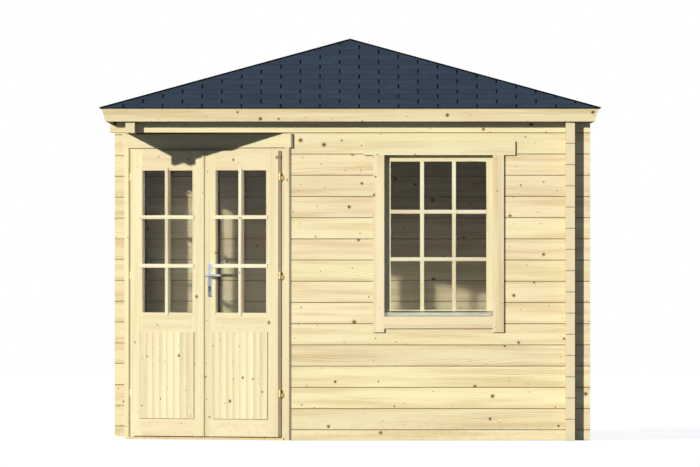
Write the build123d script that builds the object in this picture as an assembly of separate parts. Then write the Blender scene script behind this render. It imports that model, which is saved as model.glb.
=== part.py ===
from build123d import *
import os
from math import atan, cos, degrees, sin, sqrt

# Log cabin with a five-cornered plan, in millimetres.
# The origin is the middle of the square plan at ground level.
# The front wall looks along -Y, and a double door cuts off the front-left corner at 45 degrees.

# Logs
log_height = 133.0
log_thickness = 58.0
log_rows = 14              # full logs in the front wall, above its half log
plan_width = 2816.0        # between the outer faces of opposite walls
log_overhang = 97.0        # how far a log end stands out past the wall that it crosses
edge_chamfer = 3.2
tongue_width = 20.0
tongue_height = 9.0
tongue_taper = 1.5
groove_play = 0.6
crossing_play = 0.5
beam_height = 181.0        # height of a front top beam at its outer face
beam_joint_lift = 17.0     # the beams' crossing joint over the middle of their shared height
shortest_log = 20.0        # a log over the doorway would be left out below this height

# Roof
roof_fall = 0.2823         # drop for each unit of run
shingle_thickness = 6.0
deck_thickness = 18.0
fascia_height = 90.0
fascia_thickness = 18.0
fascia_reach = 150.0               # outer top edge of the fascia past the wall
shingle_overhang = 15.5            # past the fascia
rafter_width = 45.0
rafter_depth = 95.0
rafter_tail_depth = 45.0
rafter_tail_setback = 55.0         # from the fascia's outer edge back to a rafter's end
peak_block_width = 130.0
peak_block_drop = 150.0
seat_play = 1.0

# Floor
joist_height = 28.0
joist_width = 45.0
joist_count = 6
floor_thickness = 18.0
floor_play = 2.0

# Doorway, in its own frame: u runs along the doorway, v stands out from it
door_frame_depth = 70.0
jamb_play = 0.5
clear_half_width = 637.0
jamb_width = 90.82
head_height = 60.0
sill_height = 41.0
nosing_height = 15.0
nosing_depth = 30.0
side_trim_setback = 62.0   # from the jamb's inner face to the trim
side_trim_width = 38.0
door_trim_thickness = 17.0
top_trim_height = 88.0
top_trim_gap = 3.5         # below the beam
top_trim_overhang = 17.0

# Door leaves
leaf_face = 37.6           # v of the leaf's face
leaf_thickness = 44.0
lip_thickness = 27.6
lip_side_overlap = 23.6    # of the lip over the jamb
lip_overlap = 15.0         # of the lip over the head
leaf_play = 5.0
leaf_bottom = 21.0
meeting_gap = 7.0
meeting_line = -8.5        # u of the middle of the gap between the leaves
outer_stile_width = 105.6
meeting_stile_edge = 103.0
top_rail_height = 123.0
glass_bottom = 799.5
panel_bottom = 132.0
panel_top = 678.0
panel_overlap = 18.0
panel_proud = 12.0
panel_back = 10.0
glass_thickness = 4.0
glass_setback = 18.0
glass_rebate = 8.0
meeting_strip_edge = 11.0
meeting_strip_proud = 14.0

# Hinges and lever
small_round_sides = 10     # sides of the small round pieces, which are many
hinge_heights = (294.0, 1034.0, 1655.0)
hinge_stand = 7.4          # from the lip's edge to the hinge axis
hinge_axis_v = 30.0
hinge_radius = 7.2
hinge_half = 24.0          # height of one half of a hinge
hinge_pin_radius = 3.5
hinge_pin_play = 0.4
hinge_plate = 3.0
hinge_gap = 1.0            # between the two halves
hinge_flange = 26.0
hinge_plate_past_axis = 5.0
hinge_plate_lap = 3.0
hinge_pin_short = 4.0      # the pin ends this far below the leaf half's top
hinge_bore_root = 1.0
hinge_bore_end = 3.0
lever_u = 60.7
lever_height = 1033.0
lever_radius = 8.5
lever_reach = 54.0         # from the leaf's face to the middle of the grip
lever_length = 130.0
lever_bend = 16.0
lever_return = 24.0
spindle_radius = 4.5
lock_plate_width = 36.0
lock_plate_height = 214.0
lock_plate_thickness = 9.0
lock_plate_centre = 1007.0
lock_plate_chamfer = 4.0
lock_hole_play = 1.5
key_drop = 75.0
key_radius = 8.5
lever_play = 0.5           # between the lever's neck and the leaf
spindle_overlap = 5.0      # of the spindle into the necks
hole_reach = 40.0          # of a hole's cutter past the leaf's faces

# Windows, one in the front wall and its mirror image in the left wall
window_centre = 554.0
window_hole_width = 750.0
window_hole_height = 1097.5
window_row = 5             # full logs below the hole
window_play = 3.0
window_frame_depth = 70.0
window_view_width = 680.0
window_view_low = 46.5     # from the bottom of the hole to the bottom of the view
window_view_height = 1011.0
window_trim_thickness = 18.0
window_side_trim_width = 70.0
window_side_trim_drop = 100.0
window_top_trim_height = 88.0
window_top_trim_width = 950.0
window_top_trim_shift = 6.5
window_bottom_trim_height = 76.0
sash_setback = 39.0
sash_thickness = 40.0
sash_width = 40.0
sash_lap = 6.0
sash_play = 2.0
drip_height = 32.0
drip_depth = 22.0
drip_rise = 3.0

# Derived places
half = plan_width / 2
inner = half - log_thickness
crossing = half - log_thickness / 2
log_end = half + log_overhang
beam_bottom = log_height * (log_rows + 0.5)
plate_bottom = beam_bottom + log_height / 2
quarter = log_height / 4
crossing_split = (beam_bottom + quarter + beam_bottom + beam_height) / 2 + beam_joint_lift
slope = atan(roof_fall)
deck_under_apex = beam_bottom + beam_height + roof_fall * half
deck_top_apex = deck_under_apex + deck_thickness / cos(slope)
shingle_apex = deck_top_apex + shingle_thickness / cos(slope)
fascia_edge = half + fascia_reach
sky = shingle_apex + 500.0
door_half = clear_half_width + jamb_width + jamb_play
cut_leg = door_half * sqrt(2)      # how far the doorway cuts back along each wall
cut_middle = half - cut_leg / 2
door_place = Location((-cut_middle, -cut_middle, 0), (0, 0, -45))
floor_top = joist_height + floor_thickness
head_top = beam_bottom - log_height / 2
head_bottom = head_top - head_height
leaf_top = head_bottom + lip_overlap
lip_half_width = clear_half_width + lip_side_overlap
hinge_axis_u = lip_half_width + hinge_stand
side_trim_inner = clear_half_width + side_trim_setback
leaf_back = leaf_face - leaf_thickness
lip_back = leaf_face - lip_thickness
glass_opening_outer = lip_half_width - outer_stile_width
glass_opening_top = leaf_top - top_rail_height
hole_bottom = log_height * (window_row + 0.5)
hole_top = hole_bottom + window_hole_height
view_bottom = hole_bottom + window_view_low
view_top = view_bottom + window_view_height


def block(x0, x1, y0, y1, z0, z1):
    """A box between six face positions."""
    centre = Pos((x0 + x1) / 2, (y0 + y1) / 2, (z0 + z1) / 2)
    return centre * Box(abs(x1 - x0), abs(y1 - y0), abs(z1 - z0))


def turned(quarter_turns, shape):
    """A shape made for the front wall, turned to another wall about the middle of the plan."""
    return Rot(0, 0, 90 * quarter_turns) * shape


def above_roof(apex):
    """Everything above the four roof planes that meet at this apex height."""
    reach = 2 * log_end
    plane = Pos(0, 0, sky / 2) * Box(reach * 2, reach * 2, sky)
    tilted = Pos(0, 0, apex) * Rot(0, degrees(slope), 0) * plane
    return [Rot(0, 0, turn) * tilted for turn in (0, 90, 180, 270)]


def under_deck(shape):
    """The part of a shape that is below the roof deck."""
    for cutter in above_roof(deck_under_apex):
        shape = shape - cutter
    return shape


def log(x0, x1, z0, z1, tongue=True, groove=True):
    """A straight log along X in the front wall, with a tongue on top and a groove below.

    Both outer edges are chamfered, and the upper one inside the room.
    """
    side = log_thickness / 2
    low = side - edge_chamfer
    tongue_side = tongue_width / 2
    groove_side = tongue_side + groove_play
    outline = [(-low, z0)]
    if groove:
        roof = z0 + tongue_height + groove_play
        outline += [(-groove_side, z0), (tongue_taper - groove_side, roof)]
        outline += [(groove_side - tongue_taper, roof), (groove_side, z0)]
    outline += [(side, z0), (side, z1 - edge_chamfer), (low, z1)]
    if tongue:
        crest = z1 + tongue_height
        outline += [(tongue_side, z1), (tongue_side - tongue_taper, crest)]
        outline += [(tongue_taper - tongue_side, crest), (-tongue_side, z1)]
    outline += [(-low, z1), (-side, z1 - edge_chamfer), (-side, z0 + edge_chamfer)]
    section = Plane.YZ.offset(x0) * Polygon(*outline, align=None)
    return Pos(0, -crossing, 0) * extrude(section, amount=x1 - x0)


def notch(shape, x, low, high):
    """Cut a log's crossing with the next wall, leaving only what is between low and high."""
    reach = log_thickness / 2 + crossing_play
    shape -= block(x - reach, x + reach, -log_end, 0, -sky, low)
    return shape - block(x - reach, x + reach, -log_end, 0, high, sky)


def doorway_cut(side, low, high):
    """What the doorway takes from the end of a wall; side is -1 or 1 for its end along X."""
    corner = Pos(side * (half - cut_leg), -half, 0) * Rot(0, 0, side * 45)
    return corner * block(0, side * 2 * half, -half, half, low, high)


def front_courses():
    """Low and high edge of each course of the front and back walls, from the ground up."""
    courses = [(0.0, log_height / 2)]
    courses += [((row + 0.5) * log_height, (row + 1.5) * log_height) for row in range(log_rows)]
    return courses + [(beam_bottom, sky)]


def side_courses():
    """Low and high edge of each course of the side walls, from the ground up."""
    courses = [(row * log_height, (row + 1) * log_height) for row in range(log_rows + 1)]
    return courses + [(plate_bottom, sky)]


def wall_logs(courses):
    """All courses of one wall with their notched crossings, before doorway and window."""
    logs = []
    for low, high in courses:
        top = high == sky
        piece = log(-log_end, log_end, low, high, tongue=not top, groove=low > 0)
        keep_low = low + quarter if low > 0 or high == log_height else low
        keep_high = high - quarter
        if low == plate_bottom:
            keep_low = crossing_split
        if low == beam_bottom:
            keep_high = crossing_split
        for x in (-crossing, crossing):
            piece = notch(piece, x, keep_low, keep_high)
        logs.append(under_deck(piece) if top else piece)
    return logs


def rafter_outline(start, seat, tail, fall, depth, tail_depth):
    """Side view of a rafter: its run is along X, and its tail is cut back over the wall."""
    def top(run):
        return deck_under_apex - fall * run
    return [
        (start, top(start)),
        (tail, top(tail)),
        (tail, top(tail) - tail_depth),
        (seat, top(seat) - tail_depth),
        (seat, top(seat) - depth),
        (start, top(start) - depth),
    ]


def rafter_runs(hip):
    """Seat, tail and fall of a hip rafter or a middle rafter along its own run."""
    tail = fascia_edge - rafter_tail_setback
    if hip:
        seat = inner * sqrt(2) - rafter_width / 2 - seat_play
        return seat, tail * sqrt(2), roof_fall / sqrt(2)
    return inner - seat_play, tail, roof_fall


def rafter(angle, hip):
    """One rafter from the peak block to its tail under the eaves."""
    seat, tail, fall = rafter_runs(hip)
    upright = 1 / cos(atan(fall))
    points = rafter_outline(
        peak_block_width / 2, seat, tail, fall, rafter_depth * upright, rafter_tail_depth * upright
    )
    section = Plane.XZ * Polygon(*points, align=None)
    solid = Rot(0, 0, angle) * extrude(section, amount=rafter_width / 2, both=True)
    return under_deck(solid)


def rafter_slot(angle, hip, full_depth=False):
    """The slot that a rafter needs in the logs that it crosses."""
    seat, tail, fall = rafter_runs(hip)
    depth = rafter_depth if full_depth else rafter_tail_depth
    start = peak_block_width if full_depth else seat - seat_play
    drop = depth / cos(atan(fall)) + seat_play / 2
    points = [
        (start, deck_under_apex - fall * start - drop),
        (tail, deck_under_apex - fall * tail - drop),
        (tail, sky),
        (start, sky),
    ]
    section = Plane.XZ * Polygon(*points, align=None)
    width = rafter_width / 2 + seat_play / 2
    return Rot(0, 0, angle) * extrude(section, amount=width, both=True)


def slot_for_rafters(shape):
    """Cut the slots of all rafters from a top log."""
    for turn in range(4):
        shape = shape - rafter_slot(90 * turn, False) - rafter_slot(90 * turn + 45, True)
    return shape


def cut_window(logs, courses, side):
    """Cut the window hole from a wall's logs, and the tongue that would stand up into it.

    The window stands right (1) or left (-1) of the wall's middle, seen from outside.
    """
    centre = side * window_centre
    hole = block(
        centre - window_hole_width / 2, centre + window_hole_width / 2,
        -log_end, 0, hole_bottom, hole_top,
    )
    return [
        piece - hole if high + tongue_height > hole_bottom and low < hole_top else piece
        for piece, (low, high) in zip(logs, courses)
    ]


def walls():
    """The four log walls, each as two nodes of alternate courses."""
    front = cut_window(wall_logs(front_courses()), front_courses(), 1)
    for number in range(len(front) - 1):
        front[number] = front[number] - doorway_cut(-1, -1.0, beam_bottom + tongue_height + 1.0)
    front[-1] = slot_for_rafters(front[-1])
    back = wall_logs(front_courses())
    back[-1] = turned(-2, slot_for_rafters(turned(2, back[-1])))
    right = wall_logs(side_courses())
    right[-1] = turned(-1, slot_for_rafters(turned(1, right[-1])))
    left = cut_window(wall_logs(side_courses()), side_courses(), -1)
    for number in range(len(left) - 1):
        left[number] = left[number] - doorway_cut(1, -1.0, beam_bottom)
    left[-1] = turned(-3, slot_for_rafters(turned(3, left[-1])))
    nodes = {}
    named = (
        ("front_wall", front, 0), ("right_wall", right, 1),
        ("back_wall", back, 2), ("left_wall", left, 3),
    )
    for name, logs, turns in named:
        placed = [turned(turns, piece) for piece in logs]
        nodes[name + "_odd_logs"] = placed[0::2]
        nodes[name + "_even_logs"] = placed[1::2]
    return nodes


def at_door(shape):
    """Put a shape made in the doorway's frame in its place."""
    return door_place * shape


def door_block(u0, u1, v0, v1, z0, z1):
    """A box in the doorway's frame, in its place."""
    return at_door(block(u0, u1, -v1, -v0, z0, z1))


def over_door_logs():
    """Short logs over the doorway, up to the roof deck and notched round the hip rafter."""
    nodes = {"over_door_odd_logs": [], "over_door_even_logs": []}
    low = head_top
    high = beam_bottom
    names = list(nodes)
    beam_gap = crossing_play
    beams = block(-2 * half, half, -2 * half, beam_gap - inner, beam_bottom, sky)
    beams += block(-2 * half, beam_gap - inner, -2 * half, half, beam_bottom, sky)
    top_of_run = deck_under_apex - roof_fall * cut_middle
    number = 0
    while low < top_of_run - shortest_log:
        piece = log(-door_half, door_half, low, high, tongue=True, groove=low > head_top)
        piece = at_door(Pos(0, crossing + log_thickness / 2, 0) * piece)
        piece = under_deck(piece) - rafter_slot(225, True, full_depth=True)
        piece = piece - beams
        nodes[names[number % 2]].append(piece)
        low = high
        high += log_height
        number += 1
    return nodes


def doorway():
    """Frame, sill and trims of the doorway."""
    jambs = []
    side_trims = []
    for side in (-1, 1):
        outer = side * (door_half - jamb_play)
        jambs.append(door_block(side * clear_half_width, outer, -door_frame_depth, 0, 0, head_top))
        trim_outer = side * (side_trim_inner + side_trim_width)
        trim_top = beam_bottom - top_trim_gap - top_trim_height
        trim = door_block(side * side_trim_inner, trim_outer, 0, door_trim_thickness, 0, trim_top)
        side_trims.append(trim)
    head = door_block(
        -clear_half_width, clear_half_width, -door_frame_depth, 0, head_bottom, head_top
    )
    sill = door_block(-clear_half_width, clear_half_width, -door_frame_depth, 0, 0, sill_height)
    sill += door_block(-side_trim_inner, side_trim_inner, 0, nosing_depth, 0, nosing_height)
    top_reach = side_trim_inner + side_trim_width + top_trim_overhang
    trim_high = beam_bottom - top_trim_gap
    top_trim = door_block(
        -top_reach, top_reach, 0, door_trim_thickness, trim_high - top_trim_height, trim_high
    )
    return {
        "door_jambs": jambs,
        "door_head": [head],
        "door_sill": [sill],
        "door_side_trims": side_trims,
        "door_top_trim": [top_trim],
    }


def leaf_edges(side):
    """u of the meeting edge and of the outer lip edge of the left (-1) or right (1) leaf."""
    return meeting_line + side * meeting_gap / 2, side * lip_half_width


def leaf_member(side, u0, u1, z0, z1):
    """A stile or rail: its front lip keeps its full outline, and its body stays inside the frame."""
    body_edge = side * (clear_half_width - leaf_play)
    front = block(u0, u1, -leaf_face, -lip_back, z0, z1)
    low = max(z0, sill_height + leaf_play)
    high = min(z1, head_bottom - leaf_play)
    u_out = u1 if abs(u1) < abs(body_edge) else body_edge
    return front + block(u0, u_out, -lip_back, -leaf_back, low, high)


def leaf(side, name):
    """Stiles, rails, boarded panel and glass of one leaf."""
    meeting, outer = leaf_edges(side)
    opening_in = side * meeting_stile_edge
    opening_out = side * glass_opening_outer
    panel_low = panel_bottom + panel_overlap
    panel_high = panel_top - panel_overlap
    stiles = [
        leaf_member(side, meeting, opening_in, leaf_bottom, leaf_top),
        leaf_member(side, opening_out, outer, leaf_bottom, leaf_top),
    ]
    rails = [
        leaf_member(side, opening_in, opening_out, leaf_bottom, panel_low),
        leaf_member(side, opening_in, opening_out, panel_high, glass_bottom),
        leaf_member(side, opening_in, opening_out, glass_opening_top, leaf_top),
    ]
    glass_front = glass_setback - leaf_face
    glass = block(
        opening_in - side * glass_rebate,
        opening_out + side * glass_rebate,
        glass_front,
        glass_front + glass_thickness,
        glass_bottom - glass_rebate,
        glass_opening_top + glass_rebate,
    )
    panel = block(opening_in, opening_out, -leaf_face, -panel_back, panel_low, panel_high)
    panel += block(
        opening_in - side * panel_overlap,
        opening_out + side * panel_overlap,
        -leaf_face - panel_proud,
        -leaf_face,
        panel_bottom,
        panel_top,
    )
    stiles = [piece - glass for piece in stiles]
    rails = [piece - glass for piece in rails]
    if side > 0:
        stiles[0] = stiles[0] - spindle_hole() - key_hole()
    nodes = {"_stiles": stiles, "_rails": rails, "_panel": [panel], "_glass": [glass]}
    return {name + part: [at_door(piece) for piece in pieces] for part, pieces in nodes.items()}


def across(u, z, radius, v0, v1):
    """A bar or hole through the doorway's plane, between two values of v."""
    start = Plane(origin=(u, -v0, z), x_dir=(1, 0, 0), z_dir=(0, -1, 0))
    return extrude(start * RegularPolygon(radius, small_round_sides), amount=v1 - v0)


def upright(u, v, radius, z0, z1):
    """A bar or hole standing upright in the doorway's frame."""
    return extrude(Pos(u, -v, z0) * RegularPolygon(radius, small_round_sides), amount=z1 - z0)


def spindle_hole():
    """Hole through stile and plates for the lever's spindle."""
    radius = spindle_radius + lock_hole_play
    return across(lever_u, lever_height, radius, leaf_back - hole_reach, leaf_face + hole_reach)


def key_hole():
    """Hole for the key below the lever."""
    height = lever_height - key_drop
    return across(lever_u, height, key_radius, leaf_back - hole_reach, leaf_face + hole_reach)


def lock_plates():
    """Plain plates on both faces of the right leaf."""
    plates = []
    outside = (leaf_face, leaf_face + lock_plate_thickness)
    inside = (leaf_back - lock_plate_thickness, leaf_back)
    for v0, v1 in (outside, inside):
        plate = block(
            lever_u - lock_plate_width / 2,
            lever_u + lock_plate_width / 2,
            -v1, -v0,
            lock_plate_centre - lock_plate_height / 2,
            lock_plate_centre + lock_plate_height / 2,
        )
        plate = chamfer(plate.edges().filter_by(Axis.Y), lock_plate_chamfer)
        neck = across(lever_u, lever_height, lever_radius + lock_hole_play, v0 - 1.0, v1 + 1.0)
        plates.append(at_door(plate - neck - key_hole()))
    return plates


def lever_grip(face, direction):
    """Neck, grip and return end of a lever; direction is 1 outside and -1 inside."""
    out = face + direction * lever_reach
    bend = out - direction * lever_bend
    end = lever_u + lever_length
    route = Polyline(
        (lever_u, -face, lever_height),
        (lever_u, -bend, lever_height),
        (lever_u + lever_bend, -out, lever_height),
        (end - lever_bend, -out, lever_height),
        (end, -bend, lever_height),
        (end, direction * lever_return - out, lever_height),
    )
    section = Plane(origin=route @ 0, z_dir=route % 0) * RegularPolygon(lever_radius, small_round_sides)
    return sweep(section, path=route, transition=Transition.RIGHT)


def lever():
    """Outer and inner lever on one spindle."""
    outside = leaf_face + lever_play
    inside = leaf_back - lever_play
    body = lever_grip(outside, 1) + lever_grip(inside, -1)
    body += across(
        lever_u, lever_height, spindle_radius, inside - spindle_overlap, outside + spindle_overlap
    )
    return at_door(body)


def hinge_halves(side):
    """Frame halves and leaf halves of one leaf's hinges."""
    frame_halves = []
    leaf_halves = []
    u = side * hinge_axis_u
    v = hinge_axis_v
    lip = side * lip_half_width
    for height in hinge_heights:
        foot = height - hinge_half
        barrel = upright(u, v, hinge_radius, foot, height)
        web = block(u - hinge_plate / 2, u + hinge_plate / 2, -v, 0, foot, height)
        flange = block(
            u - side * hinge_plate / 2, u + side * hinge_flange, -hinge_plate, 0, foot, height
        )
        pin_top = height + hinge_half - hinge_pin_short
        pin = upright(u, v, hinge_pin_radius, height - hinge_bore_root, pin_top)
        frame_halves.append(at_door(barrel + web + flange + pin))
        low = height + hinge_gap
        high = low + hinge_half
        barrel = upright(u, v, hinge_radius, low, high)
        plate = block(
            lip, lip + side * hinge_plate,
            -v - hinge_plate_past_axis, -lip_back - hinge_plate_lap, low, high,
        )
        bore_radius = hinge_pin_radius + hinge_pin_play
        bore = upright(u, v, bore_radius, low - hinge_bore_root, high - hinge_bore_end)
        leaf_halves.append(at_door(barrel + plate - bore))
    return frame_halves, leaf_halves


def door_fittings():
    """Hinges, lock plates, lever and meeting strip."""
    left_frame, left_leaf = hinge_halves(-1)
    right_frame, right_leaf = hinge_halves(1)
    meeting = leaf_edges(1)[0]
    strip = door_block(
        meeting, meeting_strip_edge, leaf_face, leaf_face + meeting_strip_proud, leaf_bottom, leaf_top
    )
    return {
        "frame_hinge_halves": left_frame + right_frame,
        "left_leaf_hinge_halves": left_leaf,
        "right_leaf_hinge_halves": right_leaf,
        "meeting_strip": [strip],
        "lock_plates": lock_plates(),
        "lever_handle": [lever()],
    }


def ring(centre, x_half, z0, z1, width, y0, y1):
    """A rectangular frame round a window's middle, outer sizes given."""
    outer = block(centre - x_half, centre + x_half, y0, y1, z0, z1)
    x_in = x_half - width
    return outer - block(centre - x_in, centre + x_in, y0 - 1, y1 + 1, z0 + width, z1 - width)


def window(side):
    """Frame, sash, glass, trims and drip rail of the window right (1) or left (-1) of the middle."""
    centre = side * window_centre
    face = -half
    view_half = window_view_width / 2
    frame_half = window_hole_width / 2 - window_play
    frame = block(
        centre - frame_half, centre + frame_half,
        face, face + window_frame_depth,
        hole_bottom + window_play, hole_top - window_play,
    )
    frame -= block(
        centre - view_half - sash_lap, centre + view_half + sash_lap,
        face - 1, face + window_frame_depth + 1,
        view_bottom - sash_lap, view_top + sash_lap,
    )
    sash_front = face + sash_setback
    sash_half = view_half + sash_lap - sash_play
    sash_low = view_bottom - sash_lap + sash_play
    sash_high = view_top + sash_lap - sash_play
    member = sash_width + sash_lap - sash_play
    sash = ring(centre, sash_half, sash_low, sash_high, member, sash_front, sash_front + sash_thickness)
    glass_half = sash_half - member + glass_rebate
    pane_front = sash_front + glass_setback
    pane = block(
        centre - glass_half, centre + glass_half,
        pane_front, pane_front + glass_thickness,
        sash_low + member - glass_rebate, sash_high - member + glass_rebate,
    )
    sash -= pane
    side_trims = []
    trim_front = face - window_trim_thickness
    for edge in (-1, 1):
        inner_edge = centre + edge * view_half
        outer_edge = inner_edge + edge * window_side_trim_width
        trim_foot = view_bottom - window_side_trim_drop
        side_trims.append(block(inner_edge, outer_edge, trim_front, face, trim_foot, view_top))
    top_half = window_top_trim_width / 2
    top_middle = centre + side * window_top_trim_shift
    top_trim = block(
        top_middle - top_half, top_middle + top_half,
        trim_front, face, view_top, view_top + window_top_trim_height,
    )
    bottom_trim = block(
        centre - view_half, centre + view_half,
        trim_front, face, view_bottom - window_bottom_trim_height, view_bottom,
    )
    drip_low = view_bottom + drip_rise
    drip = block(
        centre - view_half + sash_play, centre + view_half - sash_play,
        sash_front - drip_depth, sash_front, drip_low, drip_low + drip_height,
    )
    nose = drip.edges().filter_by(Axis.X).sort_by(Axis.Y)[0:2].sort_by(Axis.Z)[-1]
    drip = chamfer(nose, drip_depth * 0.5, drip_height * 0.6)
    return {
        "window_frame": [frame],
        "window_sash": [sash],
        "window_glass": [pane],
        "window_side_trims": side_trims,
        "window_top_trim": [top_trim],
        "window_bottom_trim": [bottom_trim],
        "window_drip_rail": [drip],
    }


def windows():
    """The window in the front wall and its mirror image in the left wall."""
    nodes = {}
    for turns, side in ((0, 1), (-1, -1)):
        for name, pieces in window(side).items():
            nodes.setdefault(name, []).extend(turned(turns, piece) for piece in pieces)
    return nodes


def eave_wedge():
    """The quarter of the plan that the front roof panel covers."""
    reach = 2 * half
    return extrude(Polygon((0, 0), (-reach, -reach), (reach, -reach), align=None), amount=sky)


def roof_strip(points):
    """A front roof piece of one section across the slope, mitred at the hips."""
    section = Plane.YZ.offset(-2 * half) * Polygon(*points, align=None)
    return extrude(section, amount=4 * half) & eave_wedge()


def panel_points(apex, edge, thickness):
    """Section of a roof panel from the peak to an edge square to the slope."""
    low = apex - roof_fall * edge
    return [
        (0, apex),
        (-edge, low),
        (-edge + thickness * sin(slope), low - thickness * cos(slope)),
        (0, apex - thickness / cos(slope)),
    ]


def roof():
    """Deck panels, fascia boards, shingle skin, rafters and peak block."""
    names = ("front", "right", "back", "left")
    nodes = {}
    deck_edge = fascia_edge - fascia_thickness * cos(slope)
    deck = roof_strip(panel_points(deck_top_apex, deck_edge, deck_thickness))
    top_y = -fascia_edge
    top_z = deck_top_apex - roof_fall * fascia_edge
    drop_y = fascia_height * sin(slope)
    drop_z = fascia_height * cos(slope)
    back_y = fascia_thickness * cos(slope)
    back_z = fascia_thickness * sin(slope)
    fascia = roof_strip([
        (top_y, top_z),
        (top_y + drop_y, top_z - drop_z),
        (top_y + drop_y + back_y, top_z - drop_z + back_z),
        (top_y + back_y, top_z + back_z),
    ])
    shingle_edge = fascia_edge + shingle_overhang
    cover = roof_strip(panel_points(shingle_apex, shingle_edge, shingle_thickness))
    skin = cover
    for turns, name in enumerate(names):
        nodes["roof_deck_" + name] = [turned(turns, deck)]
        nodes["fascia_" + name] = [turned(turns, fascia)]
        if turns:
            skin = skin + turned(turns, cover)
    nodes["roof_shingles"] = [skin]
    nodes["hip_rafters"] = [rafter(45 + 90 * turn, True) for turn in range(4)]
    nodes["middle_rafters"] = [rafter(90 * turn, False) for turn in range(4)]
    octagon = Rot(0, 0, 22.5) * RegularPolygon(peak_block_width / 2, 8, major_radius=False)
    peak = Pos(0, 0, deck_under_apex - peak_block_drop) * extrude(octagon, amount=2 * peak_block_drop)
    nodes["peak_block"] = [under_deck(peak)]
    return nodes


def floor():
    """Joists and boards inside the walls, cut back at the doorway."""
    edge = inner - floor_play
    doorway_keep = at_door(block(-4 * half, 4 * half, -4 * half, door_frame_depth + floor_play, -1, sky))
    boards = block(-edge, edge, -edge, edge, joist_height, floor_top) - doorway_keep
    joists = []
    for number in range(joist_count):
        y = -edge + joist_width / 2 + number * (2 * edge - joist_width) / (joist_count - 1)
        joist = block(-edge, edge, y - joist_width / 2, y + joist_width / 2, 0, joist_height)
        joists.append(joist - doorway_keep)
    return {"floor_boards": [boards], "floor_joists": joists}


def main():
    """Write one STEP file for each named piece."""
    nodes = {}
    nodes.update(walls())
    nodes.update(over_door_logs())
    nodes.update(doorway())
    nodes.update(leaf(-1, "left_leaf"))
    nodes.update(leaf(1, "right_leaf"))
    nodes.update(door_fittings())
    nodes.update(windows())
    nodes.update(roof())
    nodes.update(floor())
    os.makedirs("parts", exist_ok=True)
    for name, pieces in nodes.items():
        solids = [solid for piece in pieces for solid in piece.solids()]
        shape = solids[0] if len(solids) == 1 else Compound(children=solids)
        export_step(shape, "parts/" + name + ".step")


main()
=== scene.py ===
"""Finishes, boards, shingles, glazing bars and fittings of a five-cornered log cabin.

The cabin stands with the middle of its square plan at the origin, its front wall looking along -Y.
The doorway cuts off the front-left corner at 45 degrees. In its own frame X runs along the doorway
and -Y points out of it. All lengths are in metres.
"""

import math

import bmesh
import bpy
from mathutils import Matrix, Vector


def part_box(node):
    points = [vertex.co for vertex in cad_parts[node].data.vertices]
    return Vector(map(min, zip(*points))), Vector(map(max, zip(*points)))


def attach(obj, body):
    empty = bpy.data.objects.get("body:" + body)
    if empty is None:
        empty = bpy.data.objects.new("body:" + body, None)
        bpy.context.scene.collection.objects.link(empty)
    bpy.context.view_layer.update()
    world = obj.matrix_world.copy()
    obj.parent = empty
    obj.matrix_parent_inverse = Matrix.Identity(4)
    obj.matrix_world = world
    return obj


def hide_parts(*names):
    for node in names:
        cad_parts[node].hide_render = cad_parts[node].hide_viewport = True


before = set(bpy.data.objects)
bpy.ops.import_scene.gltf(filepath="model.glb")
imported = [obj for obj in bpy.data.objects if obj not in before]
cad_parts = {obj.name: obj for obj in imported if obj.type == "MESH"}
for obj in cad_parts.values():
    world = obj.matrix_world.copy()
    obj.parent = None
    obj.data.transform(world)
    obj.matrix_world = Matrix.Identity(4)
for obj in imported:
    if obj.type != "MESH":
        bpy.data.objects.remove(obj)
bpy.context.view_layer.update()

bl_info = {
    "name": "Log Cabin Dressing",
    "version": (1, 0, 0),
    "blender": (4, 5, 0),
    "location": "3D View > Sidebar > Log Cabin",
    "description": "Finishes, boards, shingles, glazing bars and fittings of a log cabin",
    "category": "Object",
}

QUARTER = math.radians(90)
EIGHTH = math.radians(45)
SIDES = ("front", "right", "back", "left")
LEAVES = ((-1, "left"), (1, "right"))

# Walls and roof, as the solids have them
WALL_FACE = -1.408
LOG_HEIGHT = 0.133
ROOF_FALL = 0.2823
SLOPE = math.atan(ROOF_FALL)
SHINGLE_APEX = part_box("roof_shingles")[1].z
EAVE_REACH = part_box("roof_shingles")[1].x
SHINGLE_SKIN = 0.006
DECK_THICKNESS = 0.018
DECK_APEX = SHINGLE_APEX - SHINGLE_SKIN / math.cos(SLOPE)
DECK_EDGE = 1.558

# Doorway: a leaf's two faces, its glass opening, and the lock's place
DOOR = Matrix.Translation((-0.893, -0.893, 0.0)) @ Matrix.Rotation(-EIGHTH, 4, "Z")
LEAF_FACE, LEAF_BACK = 0.0376, -0.0064
LEAF_MIDDLE = 0.329
OPENING_LOW, OPENING_HIGH, OPENING_HALF = 0.7995, 1.694, 0.226
LOCK_ACROSS = 0.0607
LEVER_LEVEL = 1.033
PLATE_THICKNESS = 0.009

# Windows
WINDOW_MIDDLE = 0.554
PANE_FRONT = -1.351
PANE_LOW, PANE_HIGH = 0.818, 1.749
LEFT_WALL_LIMIT = -1.2  # what belongs to a window and lies beyond this X is in the left wall


# ---------------------------------------------------------------------------
# Sizes and colours that a user would change
# ---------------------------------------------------------------------------

def size(name, text, value):
    """A length in metres."""
    return bpy.props.FloatProperty(
        name=name, description=text, default=value, min=0.0, unit="LENGTH", precision=4
    )


def tint(name, text, value):
    """A colour, given as it looks on a screen."""
    return bpy.props.FloatVectorProperty(
        name=name, description=text, default=value, size=3, min=0.0, max=1.0, subtype="COLOR_GAMMA"
    )


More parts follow.
